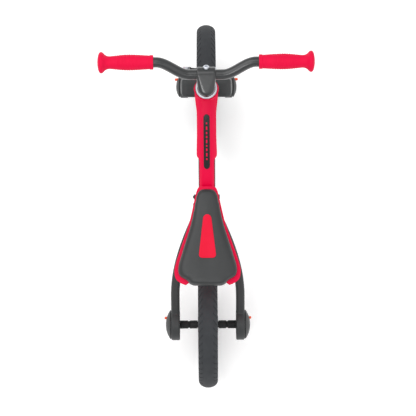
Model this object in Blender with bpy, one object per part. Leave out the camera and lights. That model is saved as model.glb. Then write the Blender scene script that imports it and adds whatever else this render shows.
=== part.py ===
"""Balance bike with a moulded frame, 12-inch-class wheels, a telescoping handlebar and a sliding seat.

Metres, +Z up, +Y forward, +X to the rider's right. The origin lies on the ground, midway
between the two axles. The steered pieces hang from an empty on the steering axis, the seat
pieces from an empty on the seat tube's axis, and each wheel from an empty on its axle.
"""

import math

import bmesh
import bpy
from mathutils import Matrix, Vector

MM = 0.001

# Fits
TOUCH = 0.3 * MM  # gap left between pieces that touch
SLIDE = 0.3 * MM  # radial gap of a sliding or turning fit
BOLT_PLAY = 0.3 * MM  # radial gap of a bolt in its hole

# Wheels
WHEEL_RADIUS = 145 * MM
TYRE_WIDTH = 44 * MM
TYRE_DEPTH = 33 * MM
TREAD_ROUNDNESS = 1.0  # 1 is an ellipse, less is squarer
WHEELBASE = 563 * MM
RIM_WIDTH = 30 * MM
RIM_DEPTH = 12 * MM
SPOKES = 5
SPOKE_WIDTH = 20 * MM
SPOKE_THICKNESS = 12 * MM
HUB_RADIUS = 19 * MM
HUB_HALF = 23 * MM
BEARING_RADIUS = 13 * MM
BEARING_WIDTH = 8 * MM
AXLE_RADIUS = 4.8 * MM
SPACER_RADIUS = 9.75 * MM
WHEEL_SEGMENTS = 32

# Axle ends
NUT_FLATS = 15 * MM
NUT_WIDTH = 5.5 * MM
CAP_WALL = 3 * MM
PEG_RADIUS = 3 * MM
PEG_PROUD = 5 * MM
REAR_PEG = (15 * MM, 3 * MM)  # forward and up from the axle
FORK_PEG = (16.5 * MM, 5 * MM)

# Steering axis
HEAD_TILT = math.radians(13.75)
FORK_RAKE = 5.3 * MM

# Fork, measured along the steering axis from the foot level with the front axle
FORK_INNER_HALF = 43 * MM
FORK_CROWN_HALF = 56 * MM
FORK_END_HALF = 61.5 * MM
FORK_BOSS_RADIUS = 26 * MM
FORK_CAP_RADIUS = 24 * MM
FORK_CAP_RISE = 9.5 * MM
CROWN_BOTTOM = 160 * MM
CROWN_HEIGHT = 30 * MM
CROWN_BACK = 19.5 * MM
CROWN_FRONT = 22.5 * MM
STEERER_RADIUS = 14.3 * MM
STEERER_WALL = 1.3 * MM

# Head
HEAD_RADIUS = 23.6 * MM
HEAD_LENGTH = 91 * MM
BUSH_FLANGE = 3.2 * MM
BUSH_LENGTH = 16 * MM
BUSH_WALL = 2.4 * MM
BUSH_FLANGE_RADIUS = 21.5 * MM
COVER_HEIGHT = 7 * MM
COVER_RADIUS = 23.8 * MM

# Quick-release clamp on the steerer
CLAMP_HEIGHT = 26 * MM
CLAMP_WALL = 5 * MM
CLAMP_SLOT = 3 * MM
CLAMP_EAR_HALF = 18 * MM
CLAMP_EAR_HEIGHT = 17 * MM
CLAMP_BOLT_FORWARD = 39 * MM
CLAMP_BOLT_RADIUS = 2.5 * MM
CLAMP_WASHER_LENGTH = 18 * MM
CAM_RADIUS = 7.5 * MM
CAM_WIDTH = 15 * MM
BARREL_RADIUS = 4 * MM
LEVER_LENGTH = 52 * MM
LEVER_THICKNESS = 5 * MM
LEVER_OPENING = math.radians(100)

# Handlebar
POST_WALL = 2 * MM
POST_INSERTED = 110 * MM
BAR_RADIUS = 11.1 * MM
BAR_WALL = 2 * MM
BAR_HALF = 225.5 * MM
BAR_ALONG = 391 * MM  # distance of the bar up the steering axis
BAR_FORWARD = 28 * MM
BAR_STRAIGHT_HALF = 36 * MM
BAR_BEND_END = 106 * MM
BAR_SWEEP = 28 * MM
BAR_SWEEP_ANGLE = math.radians(19)  # above the stem's own forward direction
STEM_RADIUS = 20.4 * MM
STEM_BAR_RADIUS = 16.5 * MM
STEM_HALF_HEIGHT = 13 * MM
STEM_BOLT_TILT = math.radians(56)
STEM_BOLT_RADIUS = 3 * MM
STEM_BOLT_HEAD = 6.5 * MM
GRIP_LENGTH = 118.5 * MM
GRIP_COLLAR = 15.4 * MM
GRIP_NECK = 13.8 * MM
GRIP_PALM = 16.7 * MM
GRIP_FLARE = 22.8 * MM

# Main frame: the spine's upper and lower edges are two cubic curves from head to seat tube, (y, z)
SPINE_TOP = [(198.5, 425), (103.5, 395), (23.5, 345), (-81.5, 292)]
SPINE_BOTTOM = [(219.5, 345), (113.5, 350), (33.5, 300), (-56.5, 204)]
SPINE_HALF = 18.7 * MM
SPINE_STATIONS = 9
SHELL_THICKNESS = 3 * MM
SHELL_HALF = 21.4 * MM
SHELL_STEP_HALF = 22.6 * MM
SHELL_NARROW_HALF = 16.5 * MM
SHELL_FLAT_HALF = 11 * MM
SHELL_SIDE = 30 * MM
SHELL_STEP_Y = 69.5 * MM
SHELL_NARROW_Y = 57.5 * MM
SHELL_REAR_Y = -18.5 * MM
HORN_WALL = 3.2 * MM
HORN_REACH = math.radians(25)  # how far the horns pass the widest point of the head
HORN_HEIGHT = 34 * MM
BADGE_HALF = 6.75 * MM
BADGE_THICKNESS = 1.6 * MM
BADGE_FRONT_Y = 152.5 * MM
BADGE_REAR_Y = 41 * MM

# Seat tube and seat
SEAT_TILT = math.radians(18)
SEAT_TUBE_TOP = (-84.5 * MM, 312 * MM)
SEAT_TUBE_LENGTH = 105 * MM
SEAT_TUBE_RADIUS = 19 * MM
SEAT_POST_RADIUS = 13.6 * MM
SEAT_POST_WALL = 2 * MM
SEAT_POST_INSERTED = 95 * MM
SEAT_CLAMP_WALL = 3.7 * MM
SEAT_CLAMP_HEIGHT = 13 * MM
SEAT_BASE_Z = 346 * MM
SEAT_BASE_HEIGHT = 11 * MM
SEAT_BASE_WALL = 3 * MM
SEAT_PAD_HEIGHT = 18 * MM
SEAT_HALF_WIDTH = 72.5 * MM
SEAT_FRONT_Y = 1.5 * MM
SEAT_LENGTH = 222 * MM
SEAT_RIM = 4 * MM
INLAY_FRONT_Y = -61.5 * MM
INLAY_LENGTH = 99 * MM
INLAY_FRONT_HALF = 10.2 * MM
INLAY_REAR_HALF = 20 * MM
INLAY_DEPTH = 5 * MM

# Rear yoke
STAY_THICKNESS = 19.6 * MM
STAY_REAR_HALF = 84.2 * MM
STAY_FRONT_HALF = 24.5 * MM
STAY_SPREAD_Y = -26.5 * MM  # where the two stays start to part
STAY_PARALLEL_Y = -221.5 * MM  # where they run parallel
STAY_FRONT_Z = 258 * MM
STAY_FRONT_Y = 1.5 * MM
STAY_HEIGHT = 40 * MM
STAY_BOSS_RADIUS = 36 * MM
REAR_CAP_RADIUS = 33 * MM
REAR_CAP_RISE = 12.5 * MM
BRIDGE_Y = (-108.5 * MM, -89.5 * MM)
YOKE_BOLTS = {"upper": (-5.5 * MM, 268 * MM), "lower": (-20 * MM, 250 * MM)}
YOKE_BOLT_RADIUS = 3 * MM
FOOT_PAD_HALF = 15 * MM
FOOT_PAD_Y = (-64.5 * MM, -32.5 * MM)
FOOT_PAD_Z = 203 * MM

# Places that follow from the sizes above
FRONT_AXLE_Y = WHEELBASE / 2
REAR_AXLE_Y = -WHEELBASE / 2
FOOT_Y = FRONT_AXLE_Y - FORK_RAKE * math.cos(HEAD_TILT)
FOOT_Z = WHEEL_RADIUS - FORK_RAKE * math.sin(HEAD_TILT)
CROWN_TOP = CROWN_BOTTOM + CROWN_HEIGHT
HEAD_BOTTOM = CROWN_TOP + BUSH_FLANGE + 2 * TOUCH
HEAD_TOP = HEAD_BOTTOM + HEAD_LENGTH
HEAD_BORE = STEERER_RADIUS + SLIDE + BUSH_WALL + TOUCH
COVER_BOTTOM = HEAD_TOP + BUSH_FLANGE + 2 * TOUCH
COVER_TOP = COVER_BOTTOM + COVER_HEIGHT
CLAMP_BOTTOM = COVER_TOP + 2 * TOUCH
CLAMP_TOP = CLAMP_BOTTOM + CLAMP_HEIGHT
CLAMP_MID = (CLAMP_BOTTOM + CLAMP_TOP) / 2
CLAMP_BORE = STEERER_RADIUS + TOUCH
POST_RADIUS = STEERER_RADIUS - STEERER_WALL - SLIDE
HORN_INNER = HEAD_RADIUS + 2 * TOUCH
SEAT_TUBE_BORE = SEAT_POST_RADIUS + SLIDE
SIDES = {"left": -1, "right": 1}


# Materials

def plastic(name, colour, roughness, metallic=0.0):
    """A plain Principled material from a linear RGB colour."""
    look = bpy.data.materials.new(name)
    look.use_nodes = True
    shader = look.node_tree.nodes["Principled BSDF"]
    shader.inputs["Base Color"].default_value = (*colour, 1)
    shader.inputs["Roughness"].default_value = roughness
    shader.inputs["Metallic"].default_value = metallic
    look.diffuse_color = (*colour, 1)
    return look


# Mesh building

def ring_points(radius, segments, height=0.0):
    """Points of a level circle about Z, starting on +X."""
    turn = 2 * math.pi / segments
    return [
        Vector((radius * math.cos(i * turn), radius * math.sin(i * turn), height))
        for i in range(segments)
    ]


def loft(bm, loops, ring=False):
    """Joins equal loops of points with quads, and caps the two ends unless they form a ring."""
    rows = [[bm.verts.new(point) for point in loop] for loop in loops]
    pairs = list(zip(rows, rows[1:]))
    if ring:
        pairs.append((rows[-1], rows[0]))
    else:
        bm.faces.new(rows[0])
        bm.faces.new(list(reversed(rows[-1])))
    for first, second in pairs:
        for i in range(len(first)):
            bm.faces.new((first[i - 1], first[i], second[i], second[i - 1]))


def turned(profile, segments):
    """A turned solid about Z; a profile that leaves the axis at both ends closes into a ring."""
    bm = bmesh.new()
    rings = []
    for radius, height in profile:
        if radius == 0:
            rings.append([bm.verts.new((0, 0, height))] * segments)
        else:
            rings.append([bm.verts.new(p) for p in ring_points(radius, segments, height)])
    pairs = list(zip(rings, rings[1:]))
    if profile[0][0] and profile[-1][0]:
        pairs.append((rings[-1], rings[0]))
    for lower, upper in pairs:
        for i in range(segments):
            corners = dict.fromkeys((lower[i - 1], lower[i], upper[i], upper[i - 1]))
            if len(corners) > 2:
                bm.faces.new(list(corners))
    return bm


def tube_profile(outer, inner, bottom, top):
    return [(outer, bottom), (outer, top), (inner, top), (inner, bottom)]


def rod_profile(radius, bottom, top):
    return [(0, bottom), (radius, bottom), (radius, top), (0, top)]


def prism(outline, bottom, top):
    """An upright prism over a flat outline of (x, y) points."""
    bm = bmesh.new()
    loft(bm, [[Vector((x, y, z)) for x, y in outline] for z in (bottom, top)])
    return bm


def box(low, high):
    outline = [(low[0], low[1]), (high[0], low[1]), (high[0], high[1]), (low[0], high[1])]
    return prism(outline, low[2], high[2])


def moved(bm, matrix):
    bmesh.ops.transform(bm, matrix=matrix, verts=bm.verts)
    return bm


def along_x(bm, centre=(0, 0, 0), side=1):
    """Lays a shape that was built about Z along X, its +Z end pointing to the given side."""
    turn = Matrix.Rotation(side * math.pi / 2, 4, "Y")
    return moved(bm, Matrix.Translation(centre) @ turn)


def softened(bm, width, angle=50, segments=1):
    """Bevels the edges whose two faces meet at more than the given angle."""
    bmesh.ops.recalc_face_normals(bm, faces=bm.faces)
    limit = math.radians(angle)
    edges = [e for e in bm.edges if len(e.link_faces) == 2 and e.calc_face_angle() > limit]
    bmesh.ops.bevel(
        bm, geom=edges, offset=width, segments=segments, affect="EDGES", profile=0.5, clamp_overlap=True
    )
    return bm


def piece(name, bm, look=None, parent=None):
    """Makes one named object of a mesh, smooth on its round sides."""
    bmesh.ops.recalc_face_normals(bm, faces=bm.faces)
    mesh = bpy.data.meshes.new(name)
    bm.to_mesh(mesh)
    bm.free()
    mesh.shade_smooth()
    mesh.set_sharp_from_angle(angle=math.radians(35))
    if look:
        mesh.materials.append(look)
    made = bpy.data.objects.new(name, mesh)
    bpy.context.scene.collection.objects.link(made)
    made.parent = parent
    return made


def combine(base, operation, *tools):
    """Applies one exact Boolean to the base for each tool mesh, all in the base's own frame."""
    for bm in tools:
        tool = piece("tool", bm, parent=base.parent)
        step = base.modifiers.new(operation.title(), "BOOLEAN")
        step.operation = operation
        step.solver = "EXACT"
        step.object = tool
        graph = bpy.context.evaluated_depsgraph_get()
        bm = bmesh.new()
        bm.from_mesh(base.evaluated_get(graph).data)
        bmesh.ops.triangulate(bm, faces=bm.faces)
        bmesh.ops.remove_doubles(bm, verts=bm.verts, dist=0.004 * MM)
        bmesh.ops.dissolve_degenerate(bm, edges=bm.edges, dist=0.004 * MM)
        base.modifiers.clear()
        bm.to_mesh(base.data)
        bm.free()
        bpy.data.objects.remove(tool)
    base.data.shade_smooth()
    base.data.set_sharp_from_angle(angle=math.radians(35))
    return base


def empty(name, location, tilt=0.0):
    """An axis that other pieces hang from, tilted back about X."""
    made = bpy.data.objects.new(name, None)
    bpy.context.scene.collection.objects.link(made)
    made.location = location
    made.rotation_euler = (tilt, 0, 0)
    return made


def mix(low, high, share):
    return low + (high - low) * share


def ease(share):
    """Smooth step from 0 to 1."""
    share = min(max(share, 0.0), 1.0)
    return share * share * (3 - 2 * share)


def cubic(points, t):
    """A point of a cubic curve given by four (y, z) points in millimetres, as metres."""
    weights = ((1 - t) ** 3, 3 * (1 - t) ** 2 * t, 3 * (1 - t) * t * t, t**3)
    y = sum(w * p[0] for w, p in zip(weights, points))
    z = sum(w * p[1] for w, p in zip(weights, points))
    return Vector((0, y * MM, z * MM))


def spine_share(y):
    """The share of the way along the spine's top where it passes the given y."""
    low, high = 0.0, 1.0
    for _ in range(30):
        middle = (low + high) / 2
        if cubic(SPINE_TOP, middle).y > y:
            low = middle
        else:
            high = middle
    return low


def smooth_outline(points, steps):
    """A closed curve through the points, with the given number of steps between two of them."""
    curve = []
    count = len(points)
    for i in range(count):
        a, b, c, d = (Vector(points[(i + k) % count]) for k in (-1, 0, 1, 2))
        for step in range(steps):
            t = step / steps
            curve.append(
                0.5
                * (2 * b + (c - a) * t + (2 * a - 5 * b + 4 * c - d) * t * t + (3 * b - a - 3 * c + d) * t**3)
            )
    return curve


def inset(outline, distance):
    """The outline moved inward by a distance; it runs counter-clockwise."""
    moved_points = []
    for i, point in enumerate(outline):
        along = outline[(i + 1) % len(outline)] - outline[i - 1]
        inward = Vector((-along.y, along.x)).normalized()
        moved_points.append(point + inward * distance)
    return moved_points


def at_height(outline, height):
    return [Vector((p.x, p.y, height)) for p in outline]


# Wheels

def wheel(name, axle, looks):
    """Tyre, moulded rim with its spokes, and two bearings, about the axle's X axis."""
    tyre_inner = WHEEL_RADIUS - TYRE_DEPTH
    half = TYRE_WIDTH / 2
    shoulder = WHEEL_RADIUS - TYRE_DEPTH * 0.5
    arc = [math.pi * k / 6 for k in range(7)]
    rise = WHEEL_RADIUS - shoulder
    tread = []
    for a in arc:
        across = math.copysign(abs(math.cos(a)) ** TREAD_ROUNDNESS, math.cos(a))
        tread.append((shoulder + rise * math.sin(a) ** TREAD_ROUNDNESS, -half * across))
    bead = [(tyre_inner + 5 * MM, half - 2 * MM), (tyre_inner, RIM_WIDTH / 2 - 2 * MM)]
    section = [(tyre_inner, -bead[1][1]), (bead[0][0], -bead[0][1]), *tread, *bead]
    piece(f"{name}_tyre", along_x(turned(section, WHEEL_SEGMENTS)), looks["tyre"], axle)

    rim_outer = tyre_inner - TOUCH
    rim_inner = rim_outer - RIM_DEPTH
    rim_half = RIM_WIDTH / 2
    ring = [(rim_outer, rim_half - 2 * MM), (rim_outer - 3 * MM, rim_half), (rim_inner, rim_half - 5 * MM)]
    ring += [(r, -x) for r, x in reversed(ring)]
    rim = piece(f"{name}_rim", along_x(turned(ring, WHEEL_SEGMENTS)), looks["dark_plastic"], axle)
    spokes = []
    for i in range(SPOKES):
        turn = Matrix.Rotation(2 * math.pi * i / SPOKES, 4, "X")
        width, depth = SPOKE_WIDTH / 2, SPOKE_THICKNESS / 2
        root, tip = HUB_RADIUS * 0.6, rim_inner + RIM_DEPTH * 0.4
        bm = bmesh.new()
        loft(
            bm,
            [
                [Vector((x * depth, y * width * scale, z)) for x, y in ((-1, -1), (1, -1), (1, 1), (-1, 1))]
                for z, scale in ((root, 1.0), (mix(root, tip, 0.5), 0.62), (tip, 1.15))
            ],
        )
        spokes.append(moved(bm, turn))
    hub = along_x(turned(rod_profile(HUB_RADIUS, -HUB_HALF, HUB_HALF), 20))
    combine(rim, "UNION", hub, *spokes)
    pocket = BEARING_RADIUS + TOUCH
    inner = HUB_HALF - BEARING_WIDTH - TOUCH
    bore = along_x(turned(rod_profile(AXLE_RADIUS + 2 * MM, -HUB_HALF - MM, HUB_HALF + MM), 16))
    pockets = [along_x(turned(rod_profile(pocket, inner, HUB_HALF + MM), 20), side=s) for s in (-1, 1)]
    combine(rim, "DIFFERENCE", bore, *pockets)
    for side, sign in SIDES.items():
        ring = tube_profile(BEARING_RADIUS, AXLE_RADIUS + TOUCH, inner + TOUCH, HUB_HALF)
        piece(f"{name}_bearing_{side}", along_x(turned(ring, 16), side=sign), looks["steel"], axle)


def spacer_profile(inner_half):
    """Half of a black sleeve with a waist, between the bearing and the frame's inner face."""
    start, end = HUB_HALF + TOUCH, inner_half - TOUCH
    length = end - start
    bore = AXLE_RADIUS + TOUCH
    nose = AXLE_RADIUS + 2.5 * MM
    waist = SPACER_RADIUS - 1.8 * MM
    middle = start + length * 0.5
    return [
        (nose, start),
        (nose, start + MM),
        (SPACER_RADIUS, start + MM),
        (SPACER_RADIUS, middle - 2.5 * MM),
        (waist, middle - MM),
        (waist, middle + MM),
        (SPACER_RADIUS, middle + 2.5 * MM),
        (SPACER_RADIUS, end),
        (bore, end),
        (bore, start),
    ]


def hexagon_nut(start):
    """A hexagon nut about Z, its six-sided bore clear of the round axle."""
    bore = (AXLE_RADIUS + TOUCH) / math.cos(math.pi / 6)
    return turned(tube_profile(NUT_FLATS / math.sqrt(3), bore, start, start + NUT_WIDTH), 6)


def domed_cap(start, radius, rise):
    """A hollow dome about Z, open towards the boss that it covers."""
    steps = 4
    shoulder = start + 2 * MM
    outer = []
    for k in range(steps):
        a = math.pi / 2 * k / steps
        outer.append((radius * math.cos(a) ** 0.7, shoulder + (rise - 2 * MM) * math.sin(a)))
    outer.append((0, start + rise))
    hollow = radius - CAP_WALL
    top = start + rise - CAP_WALL
    inner = [(0, top), (hollow * 0.72, top), (hollow, start + 2 * MM), (hollow, start)]
    return turned([(radius, start), *outer, *inner], 18)


def axle_ends(name, axle, inner_half, end_half, cap_radius, cap_rise, peg_at, looks):
    """The fixed axle with its spacers, flange nuts, domed caps and orange pegs."""
    start = end_half + TOUCH
    shaft_half = start + NUT_WIDTH + 0.8 * MM
    shaft = along_x(turned(rod_profile(AXLE_RADIUS, -shaft_half, shaft_half), 20))
    piece(f"{name}_axle", shaft, looks["steel"], axle)
    for side, sign in SIDES.items():
        sleeve = along_x(turned(spacer_profile(inner_half), 14), side=sign)
        piece(f"{name}_spacer_{side}", sleeve, looks["black_plastic"], axle)
        piece(f"{name}_axle_nut_{side}", along_x(hexagon_nut(start), side=sign), looks["steel"], axle)
        cap = piece(f"{name}_cap_{side}", along_x(domed_cap(start, cap_radius, cap_rise), side=sign),
                    looks["black_plastic"], axle)
        tip = start + cap_rise + PEG_PROUD - 2 * MM
        peg_place = (0, *peg_at)
        hole = along_x(turned(rod_profile(PEG_RADIUS + TOUCH, start - MM, tip + MM), 12), peg_place, sign)
        combine(cap, "DIFFERENCE", hole)
        root = start + MM
        peg = [(0, root), (PEG_RADIUS, root), (PEG_RADIUS, tip - MM), (PEG_RADIUS - MM, tip), (0, tip)]
        piece(f"{name}_peg_{side}", along_x(turned(peg, 12), peg_place, sign), looks["orange"], axle)


# Frame

def spine_section(t, half, drop, bottom_points, flat_half):
    """An eight-sided section across the spine: flat top, sloping shoulders, straight sides."""
    top = cubic(SPINE_TOP, t)
    bottom = cubic(bottom_points, t)
    down = (bottom - top).normalized()
    depth = (bottom - top).length
    slope = (half - flat_half) * 1.15
    corners = [(flat_half, drop), (half, drop + slope), (half, depth - 5 * MM), (half - 5 * MM, depth)]
    corners += [(-x, d) for x, d in reversed(corners)]
    return [top + down * d + Vector((x, 0, 0)) for x, d in corners]


def spine_solid(half, drop, extra_depth=0.0):
    """The spine between the head and the seat tube, or a clearance body around it."""
    bottom = [(y, z - extra_depth / MM) for y, z in SPINE_BOTTOM]
    bm = bmesh.new()
    shares = [i / (SPINE_STATIONS - 1) for i in range(SPINE_STATIONS)]
    loft(bm, [spine_section(t, half, drop, bottom, SHELL_FLAT_HALF - MM) for t in shares])
    return bm


def in_steering_frame(matrix=Matrix.Identity(4)):
    """Places a shape built along the steering axis into world coordinates."""
    return Matrix.Translation((0, FOOT_Y, FOOT_Z)) @ Matrix.Rotation(HEAD_TILT, 4, "X") @ matrix


def in_seat_frame(matrix=Matrix.Identity(4)):
    """Places a shape built along the seat tube, from its top, into world coordinates."""
    return Matrix.Translation((0, *SEAT_TUBE_TOP)) @ Matrix.Rotation(SEAT_TILT, 4, "X") @ matrix


def yoke_bolt_hole(place, reach):
    return along_x(turned(rod_profile(YOKE_BOLT_RADIUS + BOLT_PLAY, -reach, reach), 14), (0, *place))


def main_frame(looks):
    """One moulding: head tube, spine and seat tube, with a flat pad under its foot."""
    frame = piece("main_frame", spine_solid(SPINE_HALF, SHELL_THICKNESS + TOUCH), looks["dark_plastic"])
    head = moved(turned(rod_profile(HEAD_RADIUS, HEAD_BOTTOM - MM, HEAD_TOP + MM), 28), in_steering_frame())
    tube = moved(turned(rod_profile(SEAT_TUBE_RADIUS, -SEAT_TUBE_LENGTH, 0), 28), in_seat_frame())
    foot_top = FOOT_PAD_Z + 24 * MM
    foot = box((-FOOT_PAD_HALF, FOOT_PAD_Y[0], FOOT_PAD_Z), (FOOT_PAD_HALF, FOOT_PAD_Y[1], foot_top))
    combine(frame, "UNION", head, tube, foot)
    bore = turned(rod_profile(HEAD_BORE, HEAD_BOTTOM - 3 * MM, HEAD_TOP + 3 * MM), 20)
    bore = moved(bore, in_steering_frame())
    above = moved(turned(rod_profile(HORN_INNER, HEAD_TOP, HEAD_TOP + 40 * MM), 32), in_steering_frame())
    below = turned(rod_profile(HORN_INNER + 10 * MM, HEAD_BOTTOM - 30 * MM, HEAD_BOTTOM), 32)
    below = moved(below, in_steering_frame())
    post = moved(turned(rod_profile(SEAT_TUBE_BORE, 6 * MM - SEAT_TUBE_LENGTH, 5 * MM), 28), in_seat_frame())
    bolts = [yoke_bolt_hole(place, SPINE_HALF + 5 * MM) for place in YOKE_BOLTS.values()]
    return combine(frame, "DIFFERENCE", bore, above, below, post, *bolts)


def shell_section(y):
    """The shell's outer outline across the spine: it widens to a step, then narrows."""
    if y > SHELL_STEP_Y:
        half = mix(SHELL_STEP_HALF, SHELL_HALF, ease((y - SHELL_STEP_Y) / (50 * MM)))
        side = SHELL_SIDE
    else:
        share = ease((SHELL_STEP_Y - y) / (SHELL_STEP_Y - SHELL_NARROW_Y))
        half = mix(SHELL_STEP_HALF, SHELL_NARROW_HALF, share)
        side = mix(SHELL_SIDE, 12 * MM, share)
    t = spine_share(y)
    top = cubic(SPINE_TOP, t)
    down = (cubic(SPINE_BOTTOM, t) - top).normalized()
    shoulder = (half - SHELL_FLAT_HALF) * 1.1
    corners = [(SHELL_FLAT_HALF, 0), (half, shoulder), (half, side)]
    corners += [(-x, d) for x, d in reversed(corners)]
    return [top + down * d + Vector((x, 0, 0)) for x, d in corners]


def horn_sections():
    """Sections of the ring that wraps the head from one horn's tip round the back to the other."""
    steps = 24
    start, end = HORN_REACH, -math.pi - HORN_REACH
    top = COVER_TOP - 2 * MM
    loops = []
    for i in range(steps + 1):
        angle = mix(start, end, i / steps)
        tip = ease(min(i, steps - i) / 5)
        bottom = mix(top - 12 * MM, top - HORN_HEIGHT, tip)
        wall = mix(HORN_WALL - MM, HORN_WALL, tip)
        way = Vector((math.cos(angle), math.sin(angle), 0))
        inner, outer = HORN_INNER - TOUCH, HORN_INNER + wall
        loops.append(
            [way * r + Vector((0, 0, z)) for r, z in (
                (inner, bottom),
                (outer, bottom),
                (outer, top - 2.5 * MM),
                (outer - 1.5 * MM, top),
                (inner, top),
            )]
        )
    return loops


def top_shell(looks):
    """The red cover over the spine, with two horns that wrap the head tube."""
    front = SPINE_TOP[0][0] * MM
    ys = [mix(front, SHELL_STEP_Y, i / 7) for i in range(8)]
    ys += [mix(SHELL_STEP_Y, SHELL_NARROW_Y, 0.5), SHELL_NARROW_Y, 33 * MM, 7 * MM, SHELL_REAR_Y]
    bm = bmesh.new()
    loft(bm, [shell_section(y) for y in ys])
    shell = piece("top_shell", bm, looks["red_plastic"])
    horns = bmesh.new()
    loft(horns, horn_sections())
    combine(shell, "UNION", moved(horns, in_steering_frame()))
    beneath = spine_solid(SPINE_HALF + TOUCH, SHELL_THICKNESS, 60 * MM)
    head = moved(turned(rod_profile(HORN_INNER, 150 * MM, CLAMP_TOP + 20 * MM), 40), in_steering_frame())
    combine(shell, "DIFFERENCE", beneath, head)


def badge(looks):
    """A plain pill-shaped strip lying on the shell's flat top."""
    steps = 16
    length = BADGE_FRONT_Y - BADGE_REAR_Y
    bm = bmesh.new()
    loops = []
    for i in range(steps + 1):
        y = mix(BADGE_FRONT_Y, BADGE_REAR_Y, 0.5 - 0.5 * math.cos(math.pi * i / steps))
        end = max(BADGE_HALF - min(BADGE_FRONT_Y - y, y - BADGE_REAR_Y), 0)
        half = max(math.sqrt(max(BADGE_HALF**2 - end**2, 0)), 1.5 * MM)
        t = spine_share(y)
        top = cubic(SPINE_TOP, t)
        down = (cubic(SPINE_BOTTOM, t) - top).normalized()
        low, high = -1.5 * TOUCH, -BADGE_THICKNESS - 1.5 * TOUCH
        corners = [(half, low), (half, high + 0.5 * MM), (half - 0.5 * MM, high)]
        corners += [(-x, d) for x, d in reversed(corners)]
        loops.append([top + down * d + Vector((x, 0, 0)) for x, d in corners])
    loft(bm, loops)
    piece("badge_strip", bm, looks["black_plastic"])


def headset(looks, steering):
    """Two flanged bushes between the head tube and the steerer, and the ring that covers the top one."""
    inner = STEERER_RADIUS + SLIDE
    outer = HEAD_BORE - TOUCH
    lower = [
        (inner, HEAD_BOTTOM - TOUCH - BUSH_FLANGE),
        (BUSH_FLANGE_RADIUS, HEAD_BOTTOM - TOUCH - BUSH_FLANGE),
        (BUSH_FLANGE_RADIUS, HEAD_BOTTOM - TOUCH),
        (outer, HEAD_BOTTOM - TOUCH),
        (outer, HEAD_BOTTOM + BUSH_LENGTH),
        (inner, HEAD_BOTTOM + BUSH_LENGTH),
    ]
    middle = (HEAD_BOTTOM + HEAD_TOP) / 2
    upper = [(r, 2 * middle - z) for r, z in reversed(lower)]
    for name, profile in (("lower_bush", lower), ("upper_bush", upper)):
        made = piece(name, turned(profile, 20), looks["black_plastic"], steering)
        settle(made)
    edge = 2 * MM
    cover = [
        (COVER_RADIUS, COVER_BOTTOM),
        (COVER_RADIUS, COVER_TOP - edge),
        (COVER_RADIUS - edge, COVER_TOP),
        (inner, COVER_TOP),
        (inner, COVER_BOTTOM),
    ]
    settle(piece("headset_cover", turned(cover, 24), looks["silver"], steering))


def settle(made):
    """Moves a fixed piece from its axis into world coordinates, which the frame's pieces use."""
    bpy.context.view_layer.update()
    made.data.transform(made.matrix_world)
    made.parent = None
    return made


def stay_half(y):
    share = min(max((STAY_SPREAD_Y - y) / (STAY_SPREAD_Y - STAY_PARALLEL_Y), 0), 1)
    return mix(STAY_FRONT_HALF, STAY_REAR_HALF, math.sin(math.pi / 2 * share))


def stay_section(y, sign):
    """A chamfered section of one stay, which falls from the spine's foot to the rear axle."""
    share = min(max((STAY_FRONT_Y - y) / (STAY_FRONT_Y - REAR_AXLE_Y), 0), 1)
    middle = mix(STAY_FRONT_Z, WHEEL_RADIUS, share**1.5)
    high = STAY_HEIGHT / 2 - 3 * MM * share
    outer = stay_half(y)
    inner = max(SPINE_HALF + TOUCH, outer - STAY_THICKNESS)
    if y < BRIDGE_Y[1] + 45 * MM:
        inner = max(SEAT_TUBE_RADIUS + 1.5 * MM, outer - STAY_THICKNESS)
    cut = min(3 * MM, (outer - inner) * 0.4)
    corners = [
        (inner, -high + cut), (inner + cut, -high), (outer - cut, -high), (outer, -high + cut),
        (outer, high - cut), (outer - cut, high), (inner + cut, high), (inner, high - cut),
    ]
    return [Vector((sign * x, y, middle + z)) for x, z in corners]


def rear_yoke(looks):
    """Two stays joined by a bridge behind the seat tube, each ending in a round boss."""
    front = [STAY_FRONT_Y, STAY_SPREAD_Y, STAY_SPREAD_Y - 20 * MM, STAY_SPREAD_Y - 40 * MM]
    rear = [mix(-86.5 * MM, REAR_AXLE_Y + 28 * MM, i / 6) for i in range(7)]
    stays = []
    for sign in SIDES.values():
        bm = bmesh.new()
        loft(bm, [stay_section(y, sign) for y in front + rear + [REAR_AXLE_Y - 4 * MM]])
        stays.append(bm)
    yoke = piece("rear_yoke", stays[0], looks["dark_plastic"])
    share = (STAY_FRONT_Y - sum(BRIDGE_Y) / 2) / (STAY_FRONT_Y - REAR_AXLE_Y)
    middle = mix(STAY_FRONT_Z, WHEEL_RADIUS, share**1.5)
    half = stay_half(BRIDGE_Y[1]) - STAY_THICKNESS / 2
    bridge = box((-half, BRIDGE_Y[0], middle - 16 * MM), (half, BRIDGE_Y[1], middle + 14.5 * MM))
    bridge = softened(bridge, 2 * MM, 80)
    bosses = [
        along_x(
            turned(rod_profile(STAY_BOSS_RADIUS, STAY_REAR_HALF - STAY_THICKNESS, STAY_REAR_HALF), 28),
            (0, REAR_AXLE_Y, WHEEL_RADIUS),
            sign,
        )
        for sign in SIDES.values()
    ]
    combine(yoke, "UNION", stays[1], bridge, *bosses)
    reach = STAY_REAR_HALF + 5 * MM
    axle_hole = along_x(
        turned(rod_profile(AXLE_RADIUS + TOUCH, -reach, reach), 20), (0, REAR_AXLE_Y, WHEEL_RADIUS)
    )
    bolts = [yoke_bolt_hole(place, reach) for place in YOKE_BOLTS.values()]
    combine(yoke, "DIFFERENCE", axle_hole, *bolts)


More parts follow.
